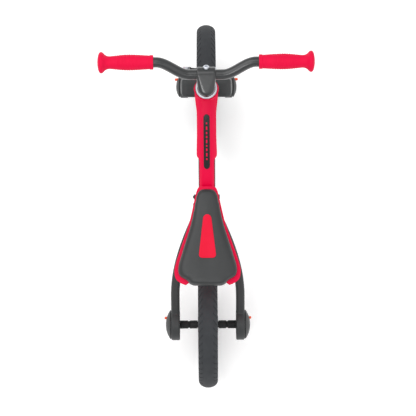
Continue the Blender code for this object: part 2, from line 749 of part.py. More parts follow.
def yoke_bolts(looks):
    """Two cross bolts that hold the yoke's cheeks to the main frame, with their nuts."""
    for name, (y, z) in YOKE_BOLTS.items():
        reach = stay_half(y) + TOUCH
        head = 4 * MM
        bolt = [
            (0, -reach - 7 * MM),
            (YOKE_BOLT_RADIUS, -reach - 7 * MM),
            (YOKE_BOLT_RADIUS, reach),
            (YOKE_BOLT_RADIUS * 1.9, reach),
            (YOKE_BOLT_RADIUS * 1.9, reach + head - MM),
            (YOKE_BOLT_RADIUS * 1.5, reach + head),
            (0, reach + head),
        ]
        piece(f"yoke_bolt_{name}", along_x(turned(bolt, 14), (0, y, z)), looks["steel"])
        bore = (YOKE_BOLT_RADIUS + BOLT_PLAY) / math.cos(math.pi / 6)
        nut = tube_profile(YOKE_BOLT_RADIUS * 2, bore, reach, reach + 5 * MM)
        piece(f"yoke_nut_{name}", along_x(turned(nut, 6), (0, y, z), -1), looks["steel"])


def seat_clamp(looks, seat_axis):
    """A split collar round the top of the seat tube and the bolt that closes it."""
    bore = SEAT_TUBE_RADIUS + TOUCH
    outer = bore + SEAT_CLAMP_WALL
    low, high = -SEAT_CLAMP_HEIGHT, 0.0
    ear_back = outer + 11 * MM
    clamp = piece("seat_clamp", turned(rod_profile(outer, low, high), 28), looks["black_plastic"], seat_axis)
    ears = box((-8 * MM, -ear_back, low + 0.5 * MM), (8 * MM, -bore, high - 0.5 * MM))
    combine(clamp, "UNION", softened(ears, MM, 80))
    hole = turned(rod_profile(bore, low - MM, high + MM), 28)
    slot = box((-1.2 * MM, -ear_back - MM, low - MM), (1.2 * MM, -bore * 0.5, high + MM))
    bolt_place = (0, -outer - 5 * MM, (low + high) / 2)
    bolt_hole = along_x(turned(rod_profile(2.5 * MM + BOLT_PLAY, -12 * MM, 12 * MM), 14), bolt_place)
    combine(clamp, "DIFFERENCE", hole, slot, bolt_hole)
    bolt = [
        (0, -8 * MM), (2.5 * MM, -8 * MM), (2.5 * MM, 8 * MM + TOUCH),
        (4.5 * MM, 8 * MM + TOUCH), (4.5 * MM, 12 * MM), (0, 12 * MM),
    ]
    made = piece("seat_clamp_bolt", along_x(turned(bolt, 14), bolt_place), looks["steel"], seat_axis)
    settle(clamp)
    settle(made)


# Fork and quick-release clamp

def fork(looks, steering):
    """A moulded crown with two blades, each ending in a round boss at the front axle."""
    crown = box((-FORK_CROWN_HALF, -CROWN_BACK, CROWN_BOTTOM), (FORK_CROWN_HALF, CROWN_FRONT, CROWN_TOP))
    made = piece("fork", softened(crown, 5 * MM, 80), looks["dark_plastic"], steering)
    blades = []
    bosses = []
    for sign in SIDES.values():
        bm = bmesh.new()
        loops = []
        for along, outer, middle, deep in (
            (CROWN_BOTTOM + 12 * MM, FORK_CROWN_HALF - MM, (CROWN_FRONT - CROWN_BACK) / 2, 19 * MM),
            (CROWN_BOTTOM - 30 * MM, FORK_CROWN_HALF + MM, 0, 17 * MM),
            (CROWN_BOTTOM * 0.4, FORK_END_HALF - 2 * MM, FORK_RAKE * 0.6, 18 * MM),
            (FORK_BOSS_RADIUS * 0.3, FORK_END_HALF - 0.5 * MM, FORK_RAKE, 24 * MM),
        ):
            inner = FORK_INNER_HALF if along > FORK_BOSS_RADIUS else FORK_INNER_HALF + 0.5 * MM
            cut = 3 * MM
            corners = [
                (inner, -deep), (outer - cut, -deep), (outer, -deep + cut),
                (outer, deep - cut), (outer - cut, deep), (inner, deep),
            ]
            loops.append([Vector((sign * x, middle + y, along)) for x, y in corners])
        loft(bm, loops)
        blades.append(bm)
        boss = turned(rod_profile(FORK_BOSS_RADIUS, FORK_INNER_HALF, FORK_END_HALF), 28)
        bosses.append(along_x(boss, (0, FORK_RAKE, 0), sign))
    combine(made, "UNION", *blades, *bosses)
    reach = FORK_END_HALF + 5 * MM
    axle_hole = along_x(turned(rod_profile(AXLE_RADIUS + TOUCH, -reach, reach), 20), (0, FORK_RAKE, 0))
    socket = turned(rod_profile(STEERER_RADIUS + TOUCH, CROWN_BOTTOM + 4 * MM, CROWN_TOP + MM), 28)
    through = turned(rod_profile(STEERER_RADIUS - 2 * MM, CROWN_BOTTOM - MM, CROWN_TOP), 28)
    combine(made, "DIFFERENCE", axle_hole, socket, through)
    tube_start = CROWN_BOTTOM + 4 * MM + TOUCH
    tube = tube_profile(STEERER_RADIUS, STEERER_RADIUS - STEERER_WALL, tube_start, CLAMP_TOP - MM)
    piece("steerer_tube", turned(tube, 28), looks["steel"], steering)


def clamp(looks, steering):
    """The split collar on the steerer with its cross bolt, spacer washer and barrel nut."""
    outer = CLAMP_BORE + CLAMP_WALL
    ear_front = CLAMP_BOLT_FORWARD + 6.5 * MM
    half_ear = CLAMP_EAR_HEIGHT / 2
    collar = piece(
        "clamp_collar", turned(rod_profile(outer, CLAMP_BOTTOM, CLAMP_TOP), 24),
        looks["black_plastic"], steering,
    )
    outline = [
        (-outer * 0.8, outer * 0.3),
        (outer * 0.8, outer * 0.3),
        (CLAMP_EAR_HALF, CLAMP_BOLT_FORWARD - 8 * MM),
        (CLAMP_EAR_HALF, ear_front),
        (-CLAMP_EAR_HALF, ear_front),
        (-CLAMP_EAR_HALF, CLAMP_BOLT_FORWARD - 8 * MM),
    ]
    ears = prism(outline, CLAMP_MID - half_ear, CLAMP_MID + half_ear)
    combine(collar, "UNION", softened(ears, 1.5 * MM, 70))
    hole = turned(rod_profile(CLAMP_BORE, CLAMP_BOTTOM - MM, CLAMP_TOP + MM), 28)
    slot = box(
        (-CLAMP_SLOT / 2, CLAMP_BORE * 0.5, CLAMP_BOTTOM - MM),
        (CLAMP_SLOT / 2, ear_front + MM, CLAMP_TOP + MM),
    )
    place = (0, CLAMP_BOLT_FORWARD, CLAMP_MID)
    reach = CLAMP_EAR_HALF + 5 * MM
    bolt_hole = along_x(turned(rod_profile(CLAMP_BOLT_RADIUS + BOLT_PLAY, -reach, reach), 14), place)
    combine(collar, "DIFFERENCE", hole, slot, bolt_hole)

    washer_start = CLAMP_EAR_HALF + TOUCH
    washer_end = washer_start + CLAMP_WASHER_LENGTH
    bore = CLAMP_BOLT_RADIUS + BOLT_PLAY
    washer = [
        (6 * MM, washer_start), (4.5 * MM, mix(washer_start, washer_end, 0.3)),
        (5.5 * MM, washer_end - 4 * MM), (7 * MM, washer_end - 3 * MM), (7 * MM, washer_end),
        (bore, washer_end), (bore, washer_start),
    ]
    piece("clamp_washer", along_x(turned(washer, 20), place, -1), looks["black_plastic"], steering)
    cam_x = washer_end + TOUCH + CAM_RADIUS
    head = 4.5 * MM
    bolt = [
        (0, -cam_x - BARREL_RADIUS * 0.6), (CLAMP_BOLT_RADIUS, -cam_x - BARREL_RADIUS * 0.6),
        (CLAMP_BOLT_RADIUS, washer_start), (6 * MM, washer_start), (6 * MM, washer_start + head - MM),
        (5 * MM, washer_start + head), (0, washer_start + head),
    ]
    piece("clamp_bolt", along_x(turned(bolt, 16), place), looks["silver"], steering)
    barrel_middle = Matrix.Translation((-cam_x, CLAMP_BOLT_FORWARD, CLAMP_MID))
    barrel_place = barrel_middle @ Matrix.Rotation(-math.pi / 2, 4, "X")
    half = CAM_WIDTH / 2 - MM
    barrel = piece("clamp_barrel", moved(turned(rod_profile(BARREL_RADIUS, -half, half), 20), barrel_place),
                   looks["steel"], steering)
    thread = turned(rod_profile(bore, -cam_x - 2 * BARREL_RADIUS, -cam_x + 2 * BARREL_RADIUS), 14)
    thread = along_x(thread, place)
    combine(barrel, "DIFFERENCE", thread)
    return cam_x


def clamp_lever(looks, pivot):
    """The cam lever of the collar, hanging closed, about the barrel's axis along Y."""
    turn = Matrix.Rotation(-math.pi / 2, 4, "X")
    half = CAM_WIDTH / 2
    lever = piece("clamp_lever", moved(turned(rod_profile(CAM_RADIUS, -half, half), 20), turn),
                  looks["silver"], pivot)
    arm = bmesh.new()
    loops = []
    for share in (0.0, 0.3, 0.6, 0.85, 1.0):
        x = -CAM_RADIUS + 0.3 * MM + 2 * MM * share - 7 * MM * share**3
        thick = mix(LEVER_THICKNESS, LEVER_THICKNESS * 0.7, share)
        wide = half - 0.5 * MM - 2 * MM * ease(share * 1.2 - 0.3)
        z = -LEVER_LENGTH * share
        corners = ((0, -wide), (thick, -wide), (thick, wide), (0, wide))
        loops.append([Vector((x + dx, dy, z)) for dx, dy in corners])
    loft(arm, loops)
    combine(lever, "UNION", softened(arm, 0.8 * MM, 80))
    bore = moved(turned(rod_profile(BARREL_RADIUS + SLIDE, -half - MM, half + MM), 20), turn)
    gap = CLAMP_BOLT_RADIUS + 0.6 * MM
    slot = box((-gap, -gap, -gap), (CAM_RADIUS + MM, gap, CAM_RADIUS + MM))
    past_upright = Matrix.Rotation(math.pi / 2 - LEVER_OPENING, 4, "Y")
    end_slot = moved(box((-gap, -gap, -gap), (gap, gap, CAM_RADIUS + 2 * MM)), past_upright)
    combine(lever, "DIFFERENCE", bore, slot, end_slot)


# Handlebar

def bar_point(x):
    """The bar's centre line: straight at the stem, then an S-bend forward and up to the grips."""
    share = ease((abs(x) - BAR_STRAIGHT_HALF) / (BAR_BEND_END - BAR_STRAIGHT_HALF))
    sweep = BAR_SWEEP * share
    return Vector((
        x,
        BAR_FORWARD + sweep * math.cos(BAR_SWEEP_ANGLE),
        BAR_ALONG + sweep * math.sin(BAR_SWEEP_ANGLE),
    ))


def bar_stations():
    bend = [mix(BAR_STRAIGHT_HALF, BAR_BEND_END, i / 6) for i in range(7)]
    right = [*bend, BAR_HALF]
    return [-x for x in reversed(right)] + right


def bar_tube(radius):
    """A round tube body along the bar's centre line."""
    sides = 16
    lift = Vector((0, -math.sin(BAR_SWEEP_ANGLE), math.cos(BAR_SWEEP_ANGLE)))
    loops = []
    for x in bar_stations():
        along = (bar_point(x + 0.1 * MM) - bar_point(x - 0.1 * MM)).normalized()
        across = lift.cross(along)
        turn = 2 * math.pi / sides
        loops.append(
            [
                bar_point(x) + (across * math.cos(i * turn) + lift * math.sin(i * turn)) * radius
                for i in range(sides)
            ]
        )
    return loops


def handlebar(looks, bar_slide):
    """The bent tube, open at both ends under the grips."""
    bm = bmesh.new()
    outer = bar_tube(BAR_RADIUS)
    inner = bar_tube(BAR_RADIUS - BAR_WALL)
    loft(bm, outer + list(reversed(inner)), ring=True)
    piece("handlebar", bm, looks["gloss_black"], bar_slide)


def grips(looks, bar_slide):
    """Soft closed-end grips: collar, swelling palm, neck and a mushroom flare."""
    start = BAR_HALF - GRIP_LENGTH + 5 * MM
    bore = BAR_RADIUS + TOUCH
    profile = [
        (bore, 0),
        (GRIP_COLLAR - MM, 0),
        (GRIP_COLLAR, MM),
        (GRIP_COLLAR, 7 * MM),
        (GRIP_COLLAR - 0.6 * MM, 9 * MM),
        (mix(GRIP_COLLAR, GRIP_PALM, 0.6), 28 * MM),
        (GRIP_PALM, 50 * MM),
        (mix(GRIP_NECK, GRIP_PALM, 0.6), 75 * MM),
        (GRIP_NECK, 93 * MM), (GRIP_NECK + 2.2 * MM, 101 * MM), (GRIP_FLARE - 2 * MM, 107 * MM),
        (GRIP_FLARE, 110.5 * MM),
        (GRIP_FLARE - 2.5 * MM, 115 * MM),
        (GRIP_FLARE * 0.55, GRIP_LENGTH - 0.6 * MM),
        (0, GRIP_LENGTH), (0, BAR_HALF - start + TOUCH), (bore, BAR_HALF - start + TOUCH),
    ]
    end = profile.index((0, GRIP_LENGTH))
    outline = [profile[end], *reversed(profile[:end]), profile[-1], profile[-2]]
    for side, sign in SIDES.items():
        centre = bar_point(sign * BAR_HALF)
        bm = along_x(turned([(r, x + start) for r, x in outline], 16), (0, centre.y, centre.z), sign)
        piece(f"grip_{side}", bm, looks["red_rubber"], bar_slide)


def stem(looks, bar_slide):
    """A U-shaped block round the post and the bar, its pinch bolt, and the telescoping post."""
    width = STEM_RADIUS
    arc = [math.pi + math.pi * k / 12 for k in range(13)]
    outline = [(width * math.cos(a), width * math.sin(a)) for a in arc]
    outline += [(width, BAR_FORWARD + 8 * MM), (-width, BAR_FORWARD + 8 * MM)]
    low, high = BAR_ALONG - STEM_HALF_HEIGHT, BAR_ALONG + STEM_HALF_HEIGHT
    made = piece("stem", softened(prism(outline, low, high), 3 * MM, 50), looks["black_plastic"], bar_slide)
    wrap = turned(rod_profile(STEM_BAR_RADIUS, -width + 0.4 * MM, width - 0.4 * MM), 24)
    bar_place = (0, BAR_FORWARD, BAR_ALONG)
    combine(made, "UNION", along_x(softened(wrap, 1.5 * MM), bar_place))
    bar_bore = along_x(turned(rod_profile(BAR_RADIUS + TOUCH, -width - MM, width + MM), 28), bar_place)
    post_bore = turned(rod_profile(POST_RADIUS + TOUCH, low - MM, high - 4 * MM), 28)
    bolt_frame = Matrix.Translation(bar_place) @ Matrix.Rotation(-STEM_BOLT_TILT, 4, "X")
    bolt_hole = turned(rod_profile(STEM_BOLT_RADIUS + BOLT_PLAY, BAR_RADIUS, STEM_BAR_RADIUS + 5 * MM), 14)
    bolt_hole = moved(bolt_hole, bolt_frame)
    combine(made, "DIFFERENCE", bar_bore, post_bore, bolt_hole)
    head = STEM_BAR_RADIUS + TOUCH
    bolt = [
        (0, BAR_RADIUS + TOUCH + 0.2 * MM),
        (STEM_BOLT_RADIUS, BAR_RADIUS + TOUCH + 0.2 * MM),
        (STEM_BOLT_RADIUS, head),
        (STEM_BOLT_HEAD, head), (STEM_BOLT_HEAD, head + 3.2 * MM), (STEM_BOLT_HEAD - MM, head + 4.2 * MM),
        (0, head + 4.2 * MM),
    ]
    bolt_made = piece("stem_bolt", moved(turned(bolt, 20), bolt_frame), looks["silver"], bar_slide)
    socket = moved(turned(rod_profile(3.2 * MM, head + 1.4 * MM, head + 6 * MM), 6), bolt_frame)
    combine(bolt_made, "DIFFERENCE", socket)
    post_bottom = CLAMP_TOP - POST_INSERTED
    tube = tube_profile(POST_RADIUS, POST_RADIUS - POST_WALL, post_bottom, high - 4 * MM - TOUCH)
    piece("bar_post", turned(tube, 28), looks["steel"], bar_slide)


# Seat

def seat_outline():
    """The saddle's plan, counter-clockwise from the nose: narrow nose, wide round rear."""
    wide = SEAT_HALF_WIDTH
    back = SEAT_FRONT_Y - SEAT_LENGTH
    half = [
        (wide * 0.20, 0.0), (wide * 0.32, 0.045), (wide * 0.43, 0.20), (wide * 0.56, 0.38),
        (wide * 0.79, 0.60), (wide * 0.965, 0.775), (wide, 0.86), (wide * 0.93, 0.935), (wide * 0.66, 0.985),
        (wide * 0.3, 1.0),
    ]
    left = [(-x, mix(SEAT_FRONT_Y, back, s)) for x, s in half]
    right = [(x, mix(SEAT_FRONT_Y, back, s)) for x, s in reversed(half)]
    return smooth_outline(left + right, 2)


def seat_base(looks, slide):
    """A hollow plastic pan, open below, with a socket that takes the seat post."""
    outline = seat_outline()
    top = SEAT_BASE_Z + SEAT_BASE_HEIGHT
    wall = SEAT_BASE_WALL
    bm = bmesh.new()
    loft(bm, [
        at_height(inset(outline, 6 * MM + wall), top - wall),
        at_height(inset(outline, 5 * MM + wall), SEAT_BASE_Z),
        at_height(inset(outline, 5 * MM), SEAT_BASE_Z),
        at_height(outline, SEAT_BASE_Z + 6 * MM),
        at_height(inset(outline, 0.8 * MM), top),
    ])
    base = piece("seat_base", bm, looks["red_plastic"], slide)
    socket = moved(turned(rod_profile(SEAT_POST_RADIUS + 4.5 * MM, 12 * MM, 44 * MM), 24), in_seat_frame())
    above = box((-40 * MM, -160 * MM, top - 1.2 * MM), (40 * MM, -40 * MM, top + 40 * MM))
    place = piece("socket", socket)
    combine(place, "DIFFERENCE", above)
    joined = bmesh.new()
    joined.from_mesh(place.data)
    bpy.data.objects.remove(place)
    combine(base, "UNION", joined)
    bore = moved(turned(rod_profile(SEAT_TUBE_BORE, 10 * MM, 36 * MM), 24), in_seat_frame())
    combine(base, "DIFFERENCE", bore)


def pad_solid(outline):
    """The cushion: loops that draw in towards the middle while they rise over a domed top."""
    bottom = SEAT_BASE_Z + SEAT_BASE_HEIGHT + TOUCH
    middle = SEAT_FRONT_Y - SEAT_LENGTH * 0.5
    plan = inset(outline, SEAT_RIM)
    loops = [at_height(inset(outline, SEAT_RIM + 1.5 * MM), bottom)]
    for width, rise in ((1.0, 0.18), (0.985, 0.42), (0.93, 0.68), (0.8, 0.86), (0.5, 0.97), (0.16, 1.0)):
        loop = []
        for point in plan:
            y = middle + (point.y - middle) * mix(1.0, width, 0.4)
            height = SEAT_PAD_HEIGHT * mix(0.64, 1.0, ease((-y - 40 * MM) / (130 * MM)))
            loop.append(Vector((point.x * width, y, bottom + height * rise)))
        loops.append(loop)
    bm = bmesh.new()
    loft(bm, loops)
    bmesh.ops.triangulate(bm, faces=[f for f in bm.faces if len(f.verts) > 4])
    return bm


def inlay_outline():
    """The inlay's plan: a long taper with round ends, wider at the rear."""
    back = INLAY_FRONT_Y - INLAY_LENGTH
    half = [
        (INLAY_FRONT_HALF * 0.55, 0.0), (INLAY_FRONT_HALF, 0.07), (INLAY_REAR_HALF * 0.78, 0.45),
        (INLAY_REAR_HALF, 0.85), (INLAY_REAR_HALF * 0.86, 0.97), (INLAY_REAR_HALF * 0.4, 1.0),
    ]
    left = [(-x, mix(INLAY_FRONT_Y, back, s)) for x, s in half]
    right = [(x, mix(INLAY_FRONT_Y, back, s)) for x, s in reversed(half)]
    return smooth_outline(left + right, 2)


def seat_cushion(looks, slide):
    """The pad, pocketed for the inlay that sits flush in its top."""
    outline = seat_outline()
    floor = SEAT_BASE_Z + SEAT_BASE_HEIGHT + SEAT_PAD_HEIGHT * 0.5 - INLAY_DEPTH * 0.4
    above = SEAT_BASE_Z + SEAT_BASE_HEIGHT + 2 * SEAT_PAD_HEIGHT
    pad = piece("seat_pad", pad_solid(outline), looks["black_pad"], slide)
    pocket = [(p.x, p.y) for p in inlay_outline()]
    combine(pad, "DIFFERENCE", prism(pocket, floor, above))
    insert = [(p.x, p.y) for p in inset(inlay_outline(), TOUCH)]
    inlay = piece("seat_inlay", pad_solid(outline), looks["red_rubber"], slide)
    combine(inlay, "INTERSECT", prism(insert, floor + TOUCH, above))


def seat_post(looks, slide):
    """The steel post that slides in the seat tube."""
    post_bore = SEAT_POST_RADIUS - SEAT_POST_WALL
    tube = tube_profile(SEAT_POST_RADIUS, post_bore, -SEAT_POST_INSERTED, 36 * MM - TOUCH)
    piece("seat_post", moved(turned(tube, 24), in_seat_frame()), looks["steel"], slide)


def balance_bike():
    """Builds every piece on the axis that it belongs to."""
    looks = {
        "dark_plastic": plastic("dark_grey_plastic", (0.055, 0.057, 0.058), 0.5),
        "black_plastic": plastic("black_plastic", (0.018, 0.018, 0.019), 0.4),
        "gloss_black": plastic("gloss_black_paint", (0.012, 0.012, 0.012), 0.2),
        "black_pad": plastic("black_pad", (0.03, 0.031, 0.031), 0.6),
        "red_plastic": plastic("red_plastic", (0.78, 0.01, 0.045), 0.35),
        "red_rubber": plastic("red_rubber", (0.8, 0.02, 0.06), 0.55),
        "tyre": plastic("tyre_foam_rubber", (0.07, 0.073, 0.078), 0.8),
        "orange": plastic("orange_plastic", (0.85, 0.12, 0.02), 0.4),
        "steel": plastic("zinc_steel", (0.5, 0.5, 0.5), 0.35, 1.0),
        "silver": plastic("satin_silver", (0.6, 0.61, 0.63), 0.35, 0.8),
    }
    steering = empty("steering_axis", (0, FOOT_Y, FOOT_Z), HEAD_TILT)
    front_axle = empty("front_axle_line", (0, FORK_RAKE, 0), -HEAD_TILT)
    front_axle.parent = steering
    rear_axle = empty("rear_axle_line", (0, REAR_AXLE_Y, WHEEL_RADIUS))
    seat_axis = empty("seat_tube_axis", (0, *SEAT_TUBE_TOP), SEAT_TILT)

    main_frame(looks)
    top_shell(looks)
    badge(looks)
    headset(looks, steering)
    rear_yoke(looks)
    yoke_bolts(looks)
    seat_clamp(looks, seat_axis)
    rear_inner = STAY_REAR_HALF - STAY_THICKNESS
    rear_cap = (REAR_CAP_RADIUS, REAR_CAP_RISE, REAR_PEG)
    axle_ends("rear", rear_axle, rear_inner, STAY_REAR_HALF, *rear_cap, looks)
    wheel("rear", rear_axle, looks)

    fork(looks, steering)
    fork_cap = (FORK_CAP_RADIUS, FORK_CAP_RISE, FORK_PEG)
    axle_ends("front", front_axle, FORK_INNER_HALF, FORK_END_HALF, *fork_cap, looks)
    wheel("front", front_axle, looks)
    cam_x = clamp(looks, steering)
    pivot = empty("lever_pivot", (-cam_x, CLAMP_BOLT_FORWARD, CLAMP_MID))
    pivot.parent = steering
    clamp_lever(looks, pivot)

    handlebar(looks, steering)
    grips(looks, steering)
    stem(looks, steering)

    seat_base(looks, None)
    seat_cushion(looks, None)
    seat_post(looks, None)


for old in list(bpy.data.objects):
    bpy.data.objects.remove(old)
balance_bike()
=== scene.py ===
"""Looks of the balance bike: smooth mouldings, grooved tyres, ribbed grips, a padded seat and their finishes.

Millimetres in the named values, metres in the meshes. +Z is up, +Y forward, +X the rider's right.
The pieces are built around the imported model's bodies and take their places from its sizes.
"""

import math

import bpy
from mathutils import Matrix, Vector


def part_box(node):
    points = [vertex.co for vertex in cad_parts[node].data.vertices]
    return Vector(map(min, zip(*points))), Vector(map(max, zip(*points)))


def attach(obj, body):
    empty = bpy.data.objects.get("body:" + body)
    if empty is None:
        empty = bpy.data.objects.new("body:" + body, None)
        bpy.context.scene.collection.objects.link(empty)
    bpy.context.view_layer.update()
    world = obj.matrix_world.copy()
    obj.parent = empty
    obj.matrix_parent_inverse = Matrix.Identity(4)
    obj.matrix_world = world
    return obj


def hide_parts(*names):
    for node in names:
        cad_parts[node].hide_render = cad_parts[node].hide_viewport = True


MM = 0.001
SIDES = {"left": -1, "right": 1}

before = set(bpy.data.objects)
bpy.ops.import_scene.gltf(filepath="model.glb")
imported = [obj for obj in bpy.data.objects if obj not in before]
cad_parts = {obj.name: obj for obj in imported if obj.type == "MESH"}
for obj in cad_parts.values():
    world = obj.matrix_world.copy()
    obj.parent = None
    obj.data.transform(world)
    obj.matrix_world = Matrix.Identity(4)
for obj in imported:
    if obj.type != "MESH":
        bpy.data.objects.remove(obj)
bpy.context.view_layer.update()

# Places read from the model
wheel_low, wheel_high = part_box("rear_tyre")
WHEEL_RADIUS = (wheel_high.z - wheel_low.z) / 2 / MM
REAR_Y = (wheel_low.y + wheel_high.y) / 2 / MM
front_low, front_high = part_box("front_tyre")
FRONT_Y = (front_low.y + front_high.y) / 2 / MM
TYRE_HALF = (wheel_high.x - wheel_low.x) / 2 / MM
BAR_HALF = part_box("handlebar")[1].x / MM
GRIP_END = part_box("grip_right")[1].x / MM
SEAT_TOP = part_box("seat_pad")[1].z / MM

# Steering axis
HEAD_TILT = math.radians(13.75)
FORK_RAKE = 5.3
HEAD_RADIUS = 23.6
HEAD_SPAN = (196.8, 287.8)
CROWN_SPAN = (160, 193)
BAR_ALONG = 391
BAR_FORWARD = 28
BAR_RADIUS = 11.1
BAR_SWEEP = 28
BAR_SWEEP_ANGLE = math.radians(19)
BAR_BEND = (36, 106)
STEM_HALF = 20.4
STEM_HALF_HEIGHT = 13

# Wheels
TYRE_DEPTH = 33
TREAD_STEPS = 216
GROOVE_EVERY = 4
GROOVE_BAND = (11.5, 20.6)
GROOVE_SLANT = math.radians(7)
SPOKES = 5
HUB_HALF = 23.3

# Frame
SPINE_TOP = [(198.5, 425), (103.5, 395), (23.5, 345), (-81.5, 292)]
SPINE_BOTTOM = [(219.5, 345), (113.5, 350), (33.5, 300), (-56.5, 204)]
SPINE_HALF = 18.7
SEAT_TILT = math.radians(18)
SEAT_TUBE_TOP = (-84.5, 312)
STAY_THICKNESS = 19.6
STAY_REAR_HALF = 84.2
STAY_FRONT_HALF = 24.5
STAY_SPREAD_Y = -26.5
STAY_PARALLEL_Y = -221.5
STAY_FRONT_Y = 1.5

# Red shell and its glossy strip
SHELL_FRONT_Y = 198.5
SHELL_STEP_Y = 69.5
SHELL_REAR_Y = -18.5
BADGE_FRONT_Y = 152.5
BADGE_REAR_Y = 41
BADGE_HALF = 6.75
# Each dash's place along the shell and its length
DASHES = (
    (134.5, 4), (124.5, 8), (114.5, 5), (106.5, 5), (97.5, 8), (88.5, 4), (80.5, 6), (70.5, 8), (61.5, 4),
)

# Seat
SEAT_FRONT_Y = 1.5
SEAT_LENGTH = 222
SEAT_HALF_WIDTH = 72.5
SEAT_BASE_Z = 346
SEAT_BASE_HEIGHT = 11
PAD_Z = SEAT_BASE_Z + SEAT_BASE_HEIGHT + 0.3
FLAP_HALF = 43


# Small tools

def mix(low, high, share):
    return low + (high - low) * share


def ease(share):
    """Smooth step from 0 to 1."""
    share = min(max(share, 0.0), 1.0)
    return share * share * (3 - 2 * share)


def smooth_through(points, steps, closed=False):
    """A curve through the points, with the given number of steps between two of them."""
    points = [Vector(p) for p in points]
    count = len(points)
    spans = count if closed else count - 1
    curve = []
    for i in range(spans):
        if closed:
            a, b, c, d = (points[(i + k) % count] for k in (-1, 0, 1, 2))
        else:
            a, b, c, d = (points[min(max(i + k, 0), count - 1)] for k in (-1, 0, 1, 2))
        for step in range(steps):
            t = step / steps
            bend = (2 * a - 5 * b + 4 * c - d) * t**2 + (3 * b - a - 3 * c + d) * t**3
            curve.append(0.5 * (2 * b + (c - a) * t + bend))
    return curve if closed else [*curve, points[-1]]


def cubic(points, t):
    """A point of a cubic curve given by four (y, z) points."""
    weights = ((1 - t) ** 3, 3 * (1 - t) ** 2 * t, 3 * (1 - t) * t * t, t**3)
    y = sum(w * p[0] for w, p in zip(weights, points))
    z = sum(w * p[1] for w, p in zip(weights, points))
    return Vector((0, y, z))


def spine_share(y):
    """The share of the way along the spine's top where it passes the given y."""
    low, high = 0.0, 1.0
    for _ in range(30):
        middle = (low + high) / 2
        if cubic(SPINE_TOP, middle).y > y:
            low = middle
        else:
            high = middle
    return low


FOOT = Vector((0, FRONT_Y - FORK_RAKE * math.cos(HEAD_TILT), WHEEL_RADIUS - FORK_RAKE * math.sin(HEAD_TILT)))
STEERING = Matrix.Translation(FOOT) @ Matrix.Rotation(HEAD_TILT, 4, "X")
SEAT_AXIS = Matrix.Translation((0, *SEAT_TUBE_TOP)) @ Matrix.Rotation(SEAT_TILT, 4, "X")
UP_HEAD = STEERING.to_3x3() @ Vector((0, 0, 1))
UP_SEAT = SEAT_AXIS.to_3x3() @ Vector((0, 0, 1))


# Modelling steps

def clear():
    """Leaves edit mode and deselects everything."""
    if bpy.context.mode != "OBJECT":
        bpy.ops.object.mode_set(mode="OBJECT")
    bpy.ops.object.select_all(action="DESELECT")


def pick(*pieces):
    """Selects the pieces and makes the first one active."""
    clear()
    for piece in pieces:
        piece.select_set(True)
    bpy.context.view_layer.objects.active = pieces[0]
    return pieces[0]


def settled(name):
    """Names the active object and puts its place into its mesh."""
    clear()
    piece = pick(bpy.context.view_layer.objects.active)
    piece.name = piece.data.name = name
    bpy.ops.object.transform_apply(location=True, rotation=True, scale=True)
    return piece


def draw(points):
    """Draws a chain of edges by extruding one point after another, and stays in edit mode."""
    clear()
    bpy.ops.mesh.primitive_plane_add(size=MM, location=points[0] * MM)
    bpy.ops.object.mode_set(mode="EDIT")
    bpy.ops.mesh.merge(type="CENTER")
    for here, there in zip(points, points[1:]):
        bpy.ops.mesh.extrude_region_move(TRANSFORM_OT_translate={"value": (there - here) * MM})
    bpy.ops.mesh.select_all(action="SELECT")


def tidy_shell():
    """Merges doubles and turns the faces outwards, in edit mode."""
    bpy.ops.mesh.select_all(action="SELECT")
    bpy.ops.mesh.remove_doubles(threshold=0.01 * MM)
    bpy.ops.mesh.normals_make_consistent(inside=False)


def spun(name, points, centre, axis, steps=96):
    """Spins a drawn outline a full turn about an axis."""
    draw(points)
    bpy.ops.mesh.spin(steps=steps, angle=2 * math.pi, center=Vector(centre) * MM, axis=axis)
    tidy_shell()
    piece = settled(name)
    bpy.ops.object.shade_smooth_by_angle(angle=math.radians(35))
    return piece


def turned(name, profile, centre, axis, steps=96):
    """A turned piece from a profile of (radius, distance along the axis)."""
    axis = Vector(axis).normalized()
    out = axis.orthogonal().normalized()
    return spun(name, [Vector(centre) + out * r + axis * a for r, a in profile], centre, axis, steps)


def ring(corner, segments=3):
    """A square ring with round corners, two units across, to be placed as a section."""
    clear()
    bpy.ops.mesh.primitive_plane_add(size=2)
    bpy.ops.object.mode_set(mode="EDIT")
    bpy.ops.mesh.bevel(offset=corner, offset_pct=0, affect="VERTICES", segments=segments)
    bpy.ops.mesh.select_all(action="SELECT")
    bpy.ops.mesh.delete(type="ONLY_FACE")
    return settled("section")


def section_at(centre, across, up, half_across, half_up):
    """The place of a section: its middle, its two directions and its two half sizes."""
    across, up = Vector(across).normalized(), Vector(up).normalized()
    normal = across.cross(up)
    columns = [across * half_across * MM, up * half_up * MM, normal * MM, Vector(centre) * MM]
    return Matrix([[*(column[row] for column in columns)] for row in range(3)] + [[0, 0, 0, 1]])


def lofted(name, section, places):
    """Copies a section to each place, bridges the copies in order and closes both ends."""
    copies = []
    for place in places:
        pick(section)
        bpy.ops.object.duplicate()
        bpy.context.object.matrix_world = place
        copies.append(bpy.context.object)
    return bridged(name, copies)


def bridged(name, rings):
    """Bridges rings in order and closes both ends."""
    pick(*rings)
    bpy.ops.object.transform_apply(location=True, rotation=True, scale=True)
    bpy.ops.object.join()
    bpy.ops.object.mode_set(mode="EDIT")
    bpy.ops.mesh.select_all(action="SELECT")
    bpy.ops.mesh.bridge_edge_loops()
    bpy.ops.mesh.select_all(action="SELECT")
    bpy.ops.mesh.fill_holes(sides=0)
    tidy_shell()
    return settled(name)


def stacked(name, loops):
    """Draws each closed loop of points and bridges them in order."""
    rings = []
    for loop in loops:
        draw([*loop, loop[0]])
        bpy.ops.mesh.remove_doubles(threshold=0.01 * MM)
        rings.append(settled("loop"))
    return bridged(name, rings)


